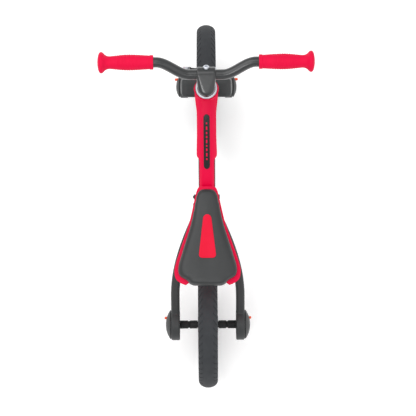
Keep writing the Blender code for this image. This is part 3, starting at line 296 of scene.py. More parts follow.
def modified(piece, kind, **settings):
    """Adds a modifier with its settings and applies it."""
    pick(piece)
    step = piece.modifiers.new(kind.title(), kind)
    for key, value in settings.items():
        setattr(step, key, value)
    bpy.ops.object.modifier_apply(modifier=step.name)
    return piece


def combined(piece, operation, *tools, solver="EXACT"):
    """Joins or cuts a piece with each tool, and removes the tools."""
    for tool in tools:
        modified(piece, "BOOLEAN", operation=operation, object=tool, solver=solver, use_self=True)
        bpy.data.objects.remove(tool)
    return piece


def moulded(name, parts, voxel, passes):
    """Melts overlapping shapes into one moulding whose corners and joins are softly rounded."""
    pick(*parts)
    if len(parts) > 1:
        bpy.ops.object.join()
    piece = settled(name)
    modified(piece, "REMESH", mode="VOXEL", voxel_size=voxel * MM)
    modified(piece, "SMOOTH", factor=0.5, iterations=passes)
    bpy.ops.object.shade_smooth()
    return piece


def rounded(piece, width, segments=3, angle=35):
    """Rounds a piece's edges."""
    limits = {"limit_method": "ANGLE", "angle_limit": math.radians(angle)}
    modified(piece, "BEVEL", width=width * MM, segments=segments, **limits)
    pick(piece)
    bpy.ops.object.shade_smooth_by_angle(angle=math.radians(40))
    return piece


def block(name, low, high, place=Matrix.Identity(4)):
    """A block between two corners, in a frame of its own."""
    middle = (Vector(low) + Vector(high)) / 2
    clear()
    bpy.ops.mesh.primitive_cube_add(size=1)
    size = Vector(high) - Vector(low)
    local = Matrix.Translation(middle) @ Matrix.Diagonal((*size, 1))
    bpy.context.object.matrix_world = Matrix.Scale(MM, 4) @ place @ local
    return settled(name)


def drum(name, radius, start, end, centre, axis, steps=64):
    """A plain round cutter or core about an axis."""
    return turned(name, [(0, start), (radius, start), (radius, end), (0, end)], centre, axis, steps)


# Materials

def linear(code):
    """A linear colour from an sRGB hex value."""
    parts = [int(code[i : i + 2], 16) / 255 for i in (0, 2, 4)]
    return (*(p / 12.92 if p <= 0.04045 else ((p + 0.055) / 1.055) ** 2.4 for p in parts), 1)


def add(tree, kind, inputs=None, **settings):
    """Adds a node, sets its properties, and sets or links its inputs."""
    made = tree.nodes.new(kind)
    for key, value in settings.items():
        setattr(made, key, value)
    for key, value in (inputs or {}).items():
        if isinstance(value, bpy.types.NodeSocket):
            tree.links.new(value, made.inputs[key])
        else:
            made.inputs[key].default_value = value
    return made


def finish_of(name, colour, roughness, **sockets):
    """A Principled material with its constant values; returns it with its tree, shader and place."""
    look = bpy.data.materials.new(name)
    look.use_nodes = True
    tree = look.node_tree
    shader = tree.nodes["Principled BSDF"]
    shader.inputs["Base Color"].default_value = linear(colour)
    shader.inputs["Roughness"].default_value = roughness
    for key, value in sockets.items():
        shader.inputs[key.replace("_", " ")].default_value = value
    place = add(tree, "ShaderNodeTexCoord").outputs["Object"]
    return look, tree, shader, place


def noise(tree, place, size, detail=3.0):
    """Noise whose features are about the given size in millimetres."""
    inputs = {"Vector": place, "Scale": 1 / (size * MM), "Detail": detail}
    return add(tree, "ShaderNodeTexNoise", inputs).outputs["Fac"]


def cells(tree, place, size):
    """Rounded cells of about the given size in millimetres."""
    inputs = {"Vector": place, "Scale": 1 / (size * MM)}
    return add(tree, "ShaderNodeTexVoronoi", inputs).outputs["Distance"]


def tinted(tree, shader, fac, dark, light):
    """Colours the surface between two hex values."""
    inputs = {"Factor": fac, "A": linear(dark), "B": linear(light)}
    mixed = add(tree, "ShaderNodeMix", inputs, data_type="RGBA")
    tree.links.new(mixed.outputs["Result"], shader.inputs["Base Color"])


def varied(tree, shader, fac, low, high):
    """Varies the roughness between two values."""
    ranged = add(tree, "ShaderNodeMapRange", {"Value": fac, "To Min": low, "To Max": high})
    tree.links.new(ranged.outputs["Result"], shader.inputs["Roughness"])


def raised(tree, shader, height, distance, strength=1.0):
    """Raises the surface by a height pattern, distance in millimetres."""
    bump = add(tree, "ShaderNodeBump", {"Height": height, "Distance": distance * MM, "Strength": strength})
    tree.links.new(bump.outputs["Normal"], shader.inputs["Normal"])


def moulded_plastic(name, dark, light, roughness, grain, depth, **sockets):
    """Injection-moulded plastic with a spark-eroded grain: an even matt skin, a little mottled."""
    look, tree, shader, place = finish_of(name, light, roughness, **sockets)
    tinted(tree, shader, noise(tree, place, 45.0), dark, light)
    varied(tree, shader, noise(tree, place, 12.0), roughness - 0.05, roughness + 0.06)
    raised(tree, shader, noise(tree, place, grain, 2.0), depth)
    return look


def gloss_black():
    """Powder-coated steel tube under a gloss lacquer: near black with faint orange peel."""
    look, tree, shader, place = finish_of(
        "gloss_black_lacquer", "1b1d1f", 0.3, Coat_Weight=0.4, Coat_Roughness=0.15
    )
    tinted(tree, shader, noise(tree, place, 30.0), "141618", "1e2022")
    raised(tree, shader, noise(tree, place, 2.2, 1.0), 0.03)
    return look


def brushed_silver(name, colour, roughness):
    """Turned or brushed steel and aluminium: fine circular marks and a satin shine."""
    look, tree, shader, place = finish_of(name, colour, roughness, Metallic=1.0)
    marks = add(tree, "ShaderNodeMapping", {"Vector": place, "Scale": (1, 12, 12)}).outputs["Vector"]
    varied(tree, shader, noise(tree, marks, 6.0), roughness - 0.08, roughness + 0.1)
    raised(tree, shader, noise(tree, marks, 3.0, 1.0), 0.02)
    return look


def soft_rubber(name, dark, light, roughness, grain, depth):
    """Thermoplastic rubber: matt and even, with a fine moulded grain."""
    look, tree, shader, place = finish_of(name, light, roughness, Specular_IOR_Level=0.14)
    tinted(tree, shader, noise(tree, place, 25.0), dark, light)
    raised(tree, shader, noise(tree, place, grain, 2.0), depth)
    return look


def tyre_rubber():
    """Foam EVA tyre: dry dark grey, with fine pores and patches of lighter dust."""
    look, tree, shader, place = finish_of("eva_tyre", "36383a", 0.75, Specular_IOR_Level=0.3)
    dust = noise(tree, place, 18.0, 6.0)
    tinted(tree, shader, dust, "2b2d30", "3c3e41")
    pores = cells(tree, place, 1.6)
    raised(tree, shader, pores, 0.12)
    return look


def seat_cover():
    """Embossed synthetic leather over foam: small pebbles, a little mottled, half matt."""
    look, tree, shader, place = finish_of("embossed_leatherette", "262829", 0.42)
    pebbles = cells(tree, place, 1.8)
    tinted(tree, shader, noise(tree, place, 40.0), "1e2021", "282a2b")
    varied(tree, shader, noise(tree, place, 15.0), 0.36, 0.46)
    raised(tree, shader, pebbles, 0.14)
    return look


LOOKS = {
    "frame_plastic": moulded_plastic(
        "glass_filled_nylon", "303233", "3b3d3e", 0.48, 1.1, 0.05, Specular_IOR_Level=0.35
    ),
    "red_plastic": moulded_plastic(
        "red_polypropylene", "d4003a", "e00040", 0.4, 0.9, 0.03, Specular_IOR_Level=0.12
    ),
    "gloss_black_plastic": moulded_plastic(
        "gloss_black_abs", "0a0b0b", "101111", 0.16, 4.0, 0.01, Specular_IOR_Level=0.4
    ),
    "black_plastic": moulded_plastic(
        "black_polypropylene", "131415", "1c1d1e", 0.45, 1.0, 0.04, Specular_IOR_Level=0.35
    ),
    "cap_plastic": moulded_plastic(
        "domed_cap_nylon", "242627", "2e3031", 0.45, 1.0, 0.04, Specular_IOR_Level=0.35
    ),
    "orange_plastic": moulded_plastic("orange_acetal", "e0491c", "ee5a26", 0.4, 0.9, 0.03),
    "zinc_steel": brushed_silver("zinc_plated_steel", "b9bcc0", 0.38),
    "bearing_steel": brushed_silver("bearing_steel", "c6c8cb", 0.25),
    "satin_silver": brushed_silver("satin_anodised_aluminium", "d2d5dc", 0.32),
    "black_paint": gloss_black(),
    "grip_rubber": soft_rubber("red_tpe_grip", "d20038", "de003e", 0.55, 1.2, 0.06),
    "inlay_rubber": soft_rubber("red_tpu_inlay", "d40a2e", "de1238", 0.5, 1.0, 0.05),
    "tyre_rubber": tyre_rubber(),
    "seat_cover": seat_cover(),
}


def place_piece(piece, body, slot, *nodes, look=None):
    """Gives a finished piece its body and its finish, and hides the model's solids that it stands for."""
    piece.data.materials.clear()
    piece.data.materials.append(LOOKS[look or slot])
    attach(piece, body)
    if nodes:
        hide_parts(*nodes)
    return piece


# Wheels

def skewed_tread(y):
    """The tyre's outline, each point turned a little about the axle so that the grooves slant."""
    half, depth = TYRE_HALF, TYRE_DEPTH
    shoulder = WHEEL_RADIUS - depth / 2
    arc = [math.pi * k / 28 for k in range(29)]
    tread = [(shoulder + depth / 2 * math.sin(a), -half * math.cos(a)) for a in arc]
    inner = WHEEL_RADIUS - depth
    side = [(inner, 13), (inner + 2, 17.5), (inner + 6, 20), (inner + 11, 21.4)]
    outline = [(r, -x) for r, x in side] + tread + list(reversed(side))
    centre = Vector((0, y, WHEEL_RADIUS))
    points = []
    for r, x in [*outline, outline[0]]:
        turn = Matrix.Rotation(groove_skew(x), 3, "X")
        points.append(centre + turn @ Vector((x, 0, r)))
    return points


def groove_skew(x):
    """The turn about the axle of a point of the tread, none on the crown and most at the shoulder."""
    return GROOVE_SLANT * max(abs(x) - 8, 0) / 14


def tyre(name, y, body):
    """A smooth crown with short slanted grooves along both shoulders."""
    centre = Vector((0, y, WHEEL_RADIUS))
    made = spun(name, skewed_tread(y), centre, (1, 0, 0), TREAD_STEPS)
    pick(made)
    bpy.ops.object.mode_set(mode="EDIT")
    bpy.ops.mesh.select_all(action="DESELECT")
    bpy.ops.object.mode_set(mode="OBJECT")
    for face in made.data.polygons:
        place = face.center / MM - centre
        radius = math.hypot(place.y, place.z)
        angle = math.atan2(-place.y, place.z) - groove_skew(place.x)
        column = math.floor((angle / (2 * math.pi) * TREAD_STEPS) + 0.5)
        grooved = column % GROOVE_EVERY == 0 and GROOVE_BAND[0] < abs(place.x) < GROOVE_BAND[1]
        face.select = grooved and radius > WHEEL_RADIUS - TYRE_DEPTH / 2 + 0.5
    bpy.ops.object.mode_set(mode="EDIT")
    bpy.ops.mesh.inset(thickness=0.5 * MM, depth=-1.1 * MM)
    bpy.ops.object.mode_set(mode="OBJECT")
    bpy.ops.object.shade_smooth_by_angle(angle=math.radians(40))
    place_piece(made, body, "tyre_rubber", name)


def rim(name, y, body):
    """A moulded rim with five waisted spokes on a hub."""
    centre = Vector((0, y, WHEEL_RADIUS))
    outer, inner, half = 111.7, 99.7, 15
    edge = [
        (outer, 0), (outer, half - 2.2), (outer - 1, half - 0.6), (outer - 3, half),
        (outer - 5, half - 0.9), (inner + 2, half - 4.4), (inner, half - 6),
    ]
    profile = edge + [(r, -x) for r, x in reversed(edge)]
    made = turned(name, [*profile, profile[0]], centre, (1, 0, 0), 128)
    hub_edge = [
        (6.2, 0), (6.2, 14), (13.0, 14.4), (13.0, 22.6), (14, 23.2),
        (18, 23.2), (19, 22), (19, 9), (17.5, 6),
    ]
    hub_profile = hub_edge + [(r, -x) for r, x in reversed(hub_edge)]
    hub = turned("hub", [*hub_profile, hub_profile[0]], centre, (1, 0, 0), 64)
    outline = ring(0.7, 4)
    stations = ((15.5, 1.0), (20, 0.98), (35, 0.74), (58, 0.6), (80, 0.7), (96, 1.0), (103, 1.25))
    places = [section_at((0, 0, r), (0, 1, 0), (1, 0, 0), 10 * s, 6) for r, s in stations]
    pattern = lofted("spoke", outline, places)
    modified(pattern, "SUBSURF", levels=2, render_levels=2)
    spokes = []
    for i in range(SPOKES):
        pick(pattern)
        bpy.ops.object.duplicate()
        spoke = bpy.context.object
        turn = Matrix.Rotation(2 * math.pi * i / SPOKES, 4, "X")
        spoke.matrix_world = Matrix.Translation(centre * MM) @ turn
        spokes.append(settled("spoke"))
    bpy.data.objects.remove(pattern)
    bpy.data.objects.remove(outline)
    made = moulded(name, [made, hub, *spokes], 1.2, 2)
    place_piece(made, body, "frame_plastic", name)


def sleeve(name, sign, y, inner_half, body):
    """The black ribbed sleeve between the hub and the frame, with a waist midway."""
    start, end = HUB_HALF, inner_half - 0.3
    middle = (start + end) / 2
    profile = [(5.1, start), (7.3, start), (7.3, start + 1), (9.2, start + 1)]
    steps = round((end - start - 1) / 0.5)
    for i in range(steps + 1):
        x = mix(start + 1, end, i / steps)
        rib = 0.28 * math.cos(2 * math.pi * (x - middle) / 3.1)
        waist = 2.2 * math.exp(-(((x - middle) / 1.7) ** 2))
        profile.append((9.45 + rib - waist, x))
    profile += [(5.1, end), (5.1, start)]
    made = turned(name, profile, (0, y, WHEEL_RADIUS), (sign, 0, 0), 48)
    place_piece(made, body, "black_plastic", name)


def cap(name, sign, y, start, rise, radius, body):
    """A domed cap over the axle nut, with a faint ring round its rim."""
    steps = 14
    dome = []
    for k in range(steps + 1):
        out = 1 - k / steps
        dome.append((radius * out, start + 2.4 + (rise - 2.4) * (1 - out**2.2)))
    hollow = [
        (0, start + rise - 3), (radius * 0.6, start + rise - 3.5), (radius - 4, start + 1),
        (radius - 3, start), (radius, start),
    ]
    groove = [(radius, start), (radius, start + 1.2), (radius - 0.5, start + 1.5), (radius, start + 1.8)]
    profile = [*groove, *dome]
    made = turned(name, profile + hollow, (0, y, WHEEL_RADIUS), (sign, 0, 0), 72)
    place_piece(made, body, "black_plastic", name, look="cap_plastic")


def peg(name, sign, body):
    """The round orange head of a lock pin."""
    low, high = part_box(name)
    middle = (low + high) / 2 / MM
    tip = max(abs(low.x), abs(high.x)) / MM
    root = min(abs(low.x), abs(high.x)) / MM
    profile = [
        (0, root), (3, root), (3, tip - 1.6), (2.7, tip - 0.8), (2.0, tip - 0.2), (1.2, tip), (0, tip),
    ]
    made = turned(name, profile, (0, middle.y, middle.z), (sign, 0, 0), 32)
    place_piece(made, body, "orange_plastic", name)


# Steered pieces

def crown_and_blades():
    """The fork: a rounded crown whose two blades widen into round bosses at the axle."""
    outline = ring(0.55, 3)
    crown_ends = (
        (-56, 16, 9), (-53.5, 19.5, 13), (-46, 21, 16), (46, 21, 16), (53.5, 19.5, 13), (56, 16, 9),
    )
    middle = (CROWN_SPAN[0] + CROWN_SPAN[1]) / 2
    forward = STEERING.to_3x3() @ Vector((0, 1, 0))
    crown = lofted("crown", outline, [
        section_at(STEERING @ Vector((x, 1.5, middle)), forward, UP_HEAD, deep, high)
        for x, deep, high in crown_ends
    ])
    parts = [crown]
    stations = ((175, 55, 1, 20), (150, 56, 1.5, 17.5), (125, 57.5, 2, 17), (95, 59, 3, 16.5),
                (65, 60, 4, 17), (40, 60.8, 4.8, 19.5), (15, 61.2, 5.3, 22))
    for sign in SIDES.values():
        places = []
        for along, outer, y, deep in stations:
            half = (outer - 43) / 2
            centre = STEERING @ Vector((sign * (43 + half), y, along))
            places.append(section_at(centre, (1, 0, 0), forward, half, deep))
        blade = lofted("blade", outline, places)
        modified(blade, "SUBSURF", levels=1, render_levels=1)
        boss_profile = [(0, 43), (24.8, 43), (26, 44.5), (26, 60), (24.6, 61.5), (0, 61.5)]
        parts += [blade, turned("boss", boss_profile, (0, FRONT_Y, WHEEL_RADIUS), (sign, 0, 0), 96)]
    bpy.data.objects.remove(outline)
    made = moulded("fork", parts, 1.3, 4)
    combined(made, "DIFFERENCE", drum("bore", 14.7, 155, 240, FOOT, UP_HEAD), solver="FAST")
    pick(made)
    bpy.ops.object.shade_smooth_by_angle(angle=math.radians(40))
    place_piece(made, "fork", "frame_plastic", "fork")


def bar_point(x):
    """The bar's centre line: straight at the stem, then an S-bend forward and up to the grips."""
    share = ease((abs(x) - BAR_BEND[0]) / (BAR_BEND[1] - BAR_BEND[0]))
    sweep = BAR_SWEEP * share
    forward = BAR_FORWARD + sweep * math.cos(BAR_SWEEP_ANGLE)
    return STEERING @ Vector((x, forward, BAR_ALONG + sweep * math.sin(BAR_SWEEP_ANGLE)))


def bar():
    """The bent tube, drawn as one curve with a round section."""
    steps = 24
    bend = [mix(BAR_BEND[0] - 8, BAR_BEND[1] + 8, i / steps) for i in range(steps + 1)]
    right = [12, *bend, BAR_HALF]
    xs = [-x for x in reversed(right)] + [0] + right
    clear()
    data = bpy.data.curves.new("handlebar", "CURVE")
    data.dimensions = "3D"
    data.bevel_depth = BAR_RADIUS * MM
    data.bevel_resolution = 10
    data.use_fill_caps = True
    line = data.splines.new("POLY")
    line.points.add(len(xs) - 1)
    for point, x in zip(line.points, xs):
        point.co = (*(bar_point(x) * MM), 1)
    made = bpy.data.objects.new("handlebar", data)
    bpy.context.scene.collection.objects.link(made)
    pick(made)
    bpy.ops.object.convert(target="MESH")
    made = settled("handlebar")
    bpy.ops.object.shade_smooth_by_angle(angle=math.radians(50))
    place_piece(made, "handlebar", "black_paint", "handlebar")


def grip(name, sign):
    """A soft grip: inner collar, ribbed palm swell, neck and a mushroom flare with a domed end."""
    length = 118.5
    start = GRIP_END - length
    shape = [
        (0, 14.6), (1, 15.4), (6.5, 15.4), (8.5, 14.7), (20, 15.3), (35, 16.2), (50, 16.7), (65, 16.2),
        (80, 14.7), (91, 13.7), (97, 14.2), (102, 16.6), (106, 20.6), (109, 22.5), (112, 22.5), (115, 19.8),
        (117, 14), (118.2, 7),
    ]
    outline = smooth_through([(x, r, 0) for x, r in shape], 8)
    profile = [(11.4, start)]
    for point in outline:
        x, r = point.x, point.y
        ribs = 0.45 * ease((x - 24) / 6) * ease((84 - x) / 6) * math.cos(2 * math.pi * x / 5)
        profile.append((r + ribs, start + x))
    profile += [(0, GRIP_END)]
    centre = bar_point(sign * BAR_HALF)
    made = turned(name, profile, (0, centre.y, centre.z), (sign, 0, 0), 96)
    place_piece(made, "handlebar", "grip_rubber", name)


def stem():
    """The stem's tongue: a round tail over the post, drawn tight round the bar."""
    tail_half = STEM_HALF - 2
    tail_profile = [
        (0, -STEM_HALF_HEIGHT), (tail_half - 2, -STEM_HALF_HEIGHT), (tail_half, 2 - STEM_HALF_HEIGHT),
        (tail_half, 6), (tail_half - 2, 9.8), (tail_half - 6.5, 12.2), (0, STEM_HALF_HEIGHT),
    ]
    tail = turned("stem", tail_profile, STEERING @ Vector((0, 0, BAR_ALONG)), UP_HEAD, 64)
    half = STEM_HALF - 0.4
    wrap_profile = [
        (0, -half), (14.5, -half), (16, 1 - half), (16.5, 3 - half),
        (16.5, half - 3), (16, half - 1), (14.5, half), (0, half),
    ]
    place = STEERING @ Vector((0, BAR_FORWARD, BAR_ALONG))
    wrap = turned("wrap", wrap_profile, place, (1, 0, 0), 64)
    pick(tail, wrap)
    bpy.ops.object.join()
    bpy.ops.object.mode_set(mode="EDIT")
    bpy.ops.mesh.select_all(action="SELECT")
    bpy.ops.mesh.convex_hull()
    made = settled("stem")
    at_bar_height = STEERING @ Matrix.Translation((0, 0, BAR_ALONG))
    cutter = block("cutter", (-30, -30, -40), (30, BAR_FORWARD - 9, -STEM_HALF_HEIGHT), at_bar_height)
    combined(made, "DIFFERENCE", cutter)
    again = turned("wrap", wrap_profile, place, (1, 0, 0), 64)
    made = moulded("stem", [made, again], 0.8, 3)
    place_piece(made, "handlebar", "black_paint", "stem")


def headset_ring():
    """The silver ring on the head, with a soft step."""
    profile = [
        (14.7, 291.6), (23.2, 291.6), (23.8, 292.2), (23.8, 296),
        (23.2, 297.6), (21.8, 298.6), (14.7, 298.6), (14.7, 291.6),
    ]
    made = turned("headset_cover", profile, FOOT, UP_HEAD, 96)
    place_piece(made, "frame", "satin_silver", "headset_cover")


# Frame

def main_frame():
    """One moulding: head tube, spine and seat tube, with a flat pad under its foot."""
    loops = []
    for i in range(19):
        t = i / 18
        top, bottom = cubic(SPINE_TOP, t), cubic(SPINE_BOTTOM, t)
        depth = (bottom - top).length
        down = (bottom - top).normalized()
        corners = [(9.5, 3.8), (SPINE_HALF, 14.5), (SPINE_HALF, depth - 5), (SPINE_HALF - 5, depth)]
        corners += [(-x, d) for x, d in reversed(corners)]
        loops.append([top + down * d + Vector((x, 0, 0)) for x, d in corners])
    spine = stacked("spine", loops)
    head = drum("head", HEAD_RADIUS, *HEAD_SPAN, FOOT, UP_HEAD, 96)
    tube = drum("tube", 19, -105, 0, (0, *SEAT_TUBE_TOP), UP_SEAT, 96)
    foot = block("foot", (-15, -64.5, 203), (15, -32.5, 227))
    made = moulded("main_frame", [spine, head, tube, foot], 1.7, 3)
    bores = [
        drum("bore", 17.3, HEAD_SPAN[0] - 3, HEAD_SPAN[1] + 3, FOOT, UP_HEAD),
        drum("bore", 40, HEAD_SPAN[1], HEAD_SPAN[1] + 40, FOOT, UP_HEAD),
        drum("bore", 40, HEAD_SPAN[0] - 30, HEAD_SPAN[0], FOOT, UP_HEAD),
        drum("bore", 13.9, -99, 5, (0, *SEAT_TUBE_TOP), UP_SEAT),
    ]
    combined(made, "DIFFERENCE", *bores, solver="FAST")
    pick(made)
    bpy.ops.object.shade_smooth_by_angle(angle=math.radians(40))
    place_piece(made, "frame", "frame_plastic", "main_frame")


def shell_outline(y):
    """The shell's half width and side depth at a place along the spine."""
    if y > SHELL_STEP_Y:
        return mix(22.6, 21.4, ease((y - SHELL_STEP_Y) / 50)) + 4.2 * ease((y - 150) / 46), 30
    share = ease((SHELL_STEP_Y - y) / 12)
    return mix(22.6, 16.5, share), mix(30, 12, share)


def top_shell():
    """The red cover: a flat top, sloping sides, a step where it narrows, and horns round the head."""
    flat = 11
    loops = []
    ys = [SHELL_FRONT_Y - 3.5 * i for i in range(36)]
    ys += [SHELL_STEP_Y - d for d in (-3, 0, 2, 4, 6, 8, 10, 12, 16)]
    ys += [SHELL_STEP_Y - 20 - 6 * i for i in range(12)]
    ys = sorted((y for y in set(ys) if y >= SHELL_REAR_Y), reverse=True)
    for y in ys:
        half, side = shell_outline(y)
        t = spine_share(y)
        top = cubic(SPINE_TOP, t)
        down = (cubic(SPINE_BOTTOM, t) - top).normalized()
        shoulder = (half - flat) * 1.1
        corners = [(flat, 0), (half, shoulder), (half, side), (half - 3, side)]
        inner = [(flat - 1.2, 3)] if half < 19 else [(SPINE_HALF + 0.3, 12), (flat - 1.2, 3)]
        corners += inner if half >= 19 else [(half - 3, side - 1), (flat - 1.2, 3)]
        corners += [(-x, d) for x, d in reversed(corners)]
        loops.append([top + down * d + Vector((x, 0, 0)) for x, d in corners])
    made = stacked("top_shell", loops)
    horns = horn_ring()
    bore = drum("bore", 24.2, 150, 345, FOOT, UP_HEAD, 96)
    combined(made, "UNION", horns)
    combined(made, "DIFFERENCE", bore)
    rounded(made, 0.7, 2, 25)
    place_piece(made, "frame", "red_plastic", "top_shell")


def horn_ring():
    """The ring that wraps the head from one horn's tip round the back to the other."""
    steps = 48
    top = 296.6
    reach = math.radians(40)
    loops = []
    for i in range(steps + 1):
        angle = mix(reach, -math.pi - reach, i / steps)
        tip = ease(min(i, steps - i) / 9)
        bottom = mix(top - 12, top - 34, tip)
        wall = mix(0.5, 3.2, tip)
        way = Vector((math.cos(angle), math.sin(angle), 0))
        outer = 24.2 + wall
        section = ((23.9, bottom), (outer, bottom), (outer, top - 2.5), (outer - 1.5, top), (23.9, top))
        loops.append([STEERING @ (way * r + Vector((0, 0, z))) for r, z in section])
    return stacked("horns", loops)


def badge():
    """A glossy pill on the shell's flat top, with a row of plain raised dashes."""
    loops = []
    steps = 30
    for i in range(steps + 1):
        y = mix(BADGE_FRONT_Y, BADGE_REAR_Y, 0.5 - 0.5 * math.cos(math.pi * i / steps))
        end = max(BADGE_HALF - min(BADGE_FRONT_Y - y, y - BADGE_REAR_Y), 0)
        half = max(math.sqrt(max(BADGE_HALF**2 - end**2, 0)), 1.2)
        t = spine_share(y)
        top = cubic(SPINE_TOP, t)
        down = (cubic(SPINE_BOTTOM, t) - top).normalized()
        corners = [(half, 0.2), (half, -1.4), (half - 0.6, -2.0)]
        corners += [(-x, d) for x, d in reversed(corners)]
        loops.append([top + down * d + Vector((x, 0, 0)) for x, d in corners])
    made = stacked("badge_strip", loops)
    pick(made)
    bpy.ops.object.shade_smooth_by_angle(angle=math.radians(35))
    place_piece(made, "frame", "gloss_black_plastic", "badge_strip")
    dashes = []
    for y, length in DASHES:
        t = spine_share(y)
        top = cubic(SPINE_TOP, t)
        along = (cubic(SPINE_TOP, t - 0.01) - top).normalized()
        up = Vector((1, 0, 0)).cross(along)
        frame_here = Matrix((Vector((1, 0, 0)), along, up)).transposed().to_4x4()
        place = Matrix.Translation(top + up * 2.0) @ frame_here
        dash = block("dash", (-1.5, -length / 2, -0.5), (1.5, length / 2, 0.35), place)
        dashes.append(rounded(dash, 0.3, 2))
    pick(*dashes)
    bpy.ops.object.join()
    place_piece(settled("badge_dashes"), "frame", "red_plastic")


def stay_half(y):
    share = min(max((STAY_SPREAD_Y - y) / (STAY_SPREAD_Y - STAY_PARALLEL_Y), 0), 1)
    return mix(STAY_FRONT_HALF, STAY_REAR_HALF, math.sin(math.pi / 2 * share))


def rear_yoke():
    """Two bowed stays, joined behind the seat tube, that swell into round bosses at the axle."""
    outline = ring(0.45, 3)
    parts = []
    for sign in SIDES.values():
        places = []
        for i in range(29):
            y = mix(STAY_FRONT_Y, REAR_Y - 4, i / 28)
            share = min((STAY_FRONT_Y - y) / (STAY_FRONT_Y - REAR_Y), 1)
            middle = mix(258, WHEEL_RADIUS, share**1.5)
            outer = stay_half(y)
            least = SPINE_HALF + 0.3 if y >= -44.5 else 20.5
            inner = max(least, outer - STAY_THICKNESS)
            centre = Vector((sign * (inner + outer) / 2, y, middle))
            places.append(section_at(centre, (1, 0, 0), (0, 0, 1), (outer - inner) / 2, 20 - 3 * share))
        parts.append(lofted("stay", outline, places))
        inner = STAY_REAR_HALF - STAY_THICKNESS
        profile = [
            (0, inner), (34.5, inner), (36, inner + 1.5),
            (36, STAY_REAR_HALF - 2), (34, STAY_REAR_HALF), (0, STAY_REAR_HALF),
        ]
        parts.append(turned("boss", profile, (0, REAR_Y, WHEEL_RADIUS), (sign, 0, 0), 96))
    share = (STAY_FRONT_Y + 99) / (STAY_FRONT_Y - REAR_Y)
    middle = mix(258, WHEEL_RADIUS, share**1.5)
    parts.append(block("bridge", (-48, -108.5, middle - 16), (48, -89.5, middle + 14.5)))
    bpy.data.objects.remove(outline)
    made = moulded("rear_yoke", parts, 1.4, 3)
    place_piece(made, "frame", "frame_plastic", "rear_yoke")


# Seat

def seat_outline(steps=3):
    """The saddle's plan, counter-clockwise from the nose: narrow nose, wide round rear."""
    wide = SEAT_HALF_WIDTH
    back = SEAT_FRONT_Y - SEAT_LENGTH
    half = [
        (wide * 0.20, 0.0), (wide * 0.32, 0.045), (wide * 0.43, 0.20), (wide * 0.56, 0.38),
        (wide * 0.79, 0.60), (wide * 0.965, 0.775), (wide, 0.86), (wide * 0.93, 0.935), (wide * 0.66, 0.985),
        (wide * 0.3, 1.0),
    ]
    left = [(-x, mix(SEAT_FRONT_Y, back, s), 0) for x, s in half]
    right = [(x, mix(SEAT_FRONT_Y, back, s), 0) for x, s in reversed(half)]
    return smooth_through(left + right, steps, closed=True)


def drawn_in(outline, distance):
    """The outline moved inward by a distance, which may depend on the place."""
    result = []
    for i, point in enumerate(outline):
        along = outline[(i + 1) % len(outline)] - outline[i - 1]
        inward = Vector((-along.y, along.x, 0)).normalized()
        result.append(point + inward * (distance(point) if callable(distance) else distance))
    return result


def flap_share(point):
    """1 where the pad folds down over the back of the seat, 0 elsewhere."""
    if point.y > -186:
        return 0.0
    return ease((FLAP_HALF + 3 - abs(point.x)) / 6)


def pad_gap(point):
    """How far the pad lies inside the red rim: little at the nose, more at the rear corners."""
    gap = mix(0.8, 4.6, ease((-point.y - 20) / 170)) + 4.5 * ease((point.y + 16) / 16)
    gap = mix(gap, 8.0, ease((-point.y - 185) / 25))
    return mix(gap, -0.6, flap_share(point))


def seat_base():
    """The red pan under the pad, open below, set back where the pad folds over it."""
    outline = drawn_in(seat_outline(), lambda p: 8 * flap_share(p))
    top = SEAT_BASE_Z + SEAT_BASE_HEIGHT
    rings = [
        (7, top - 4), (7.6, SEAT_BASE_Z + 0.6), (6, SEAT_BASE_Z), (5, SEAT_BASE_Z),
        (1.2, SEAT_BASE_Z + 3.5), (0, SEAT_BASE_Z + 6.5), (0.1, top - 1.6), (0.9, top - 0.4), (2.4, top),
    ]
    loops = []
    for distance, z in rings:
        loops.append([Vector((p.x, p.y, z)) for p in drawn_in(outline, distance)])
    made = stacked("seat_base", loops)
    socket = drum("socket", 18.1, 12, 41, (0, *SEAT_TUBE_TOP), UP_SEAT)
    over = block("over", (-40, -156, top - 1), (40, -36, top + 40))
    combined(socket, "DIFFERENCE", over)
    combined(made, "UNION", socket)
    combined(made, "DIFFERENCE", drum("bore", 13.9, 5, 36, (0, *SEAT_TUBE_TOP), UP_SEAT))
    pick(made)
    bpy.ops.object.shade_smooth_by_angle(angle=math.radians(35))
    place_piece(made, "seat", "red_plastic", "seat_base")


def seat_pad():
    """The foam pad under its cover: swollen by cloth simulation."""
    plan = drawn_in(seat_outline(), pad_gap)
    middle = SEAT_FRONT_Y - SEAT_LENGTH / 2
    loops = []
    rings = (
        (0.9, 0.02), (0.985, 0.0), (1.0, 0.1), (1.0, 0.35), (0.985, 0.55), (0.945, 0.73),
        (0.86, 0.86), (0.7, 0.94), (0.45, 0.985), (0.18, 1.0),
    )
    for width, rise in rings:
        loop = []
        for point in plan:
            x = point.x * width
            y = middle + (point.y - middle) * mix(1.0, width, 0.35)
            height = (SEAT_TOP - PAD_Z) * mix(0.66, 1.0, ease((-y - 30) / 140))
            foot = PAD_Z - (7.5 * flap_share(point) if width > 0.95 else 0)
            loop.append(Vector((x, y, mix(foot, PAD_Z + height, rise))))
        loops.append(loop)
    made = stacked("seat_pad", loops)
    modified(made, "SUBSURF", levels=1, render_levels=1)
    swell(made)
    modified(made, "SUBSURF", levels=1, render_levels=1)
    pick(made)
    bpy.ops.object.shade_smooth()
    place_piece(made, "seat", "seat_cover", "seat_pad")
    return made


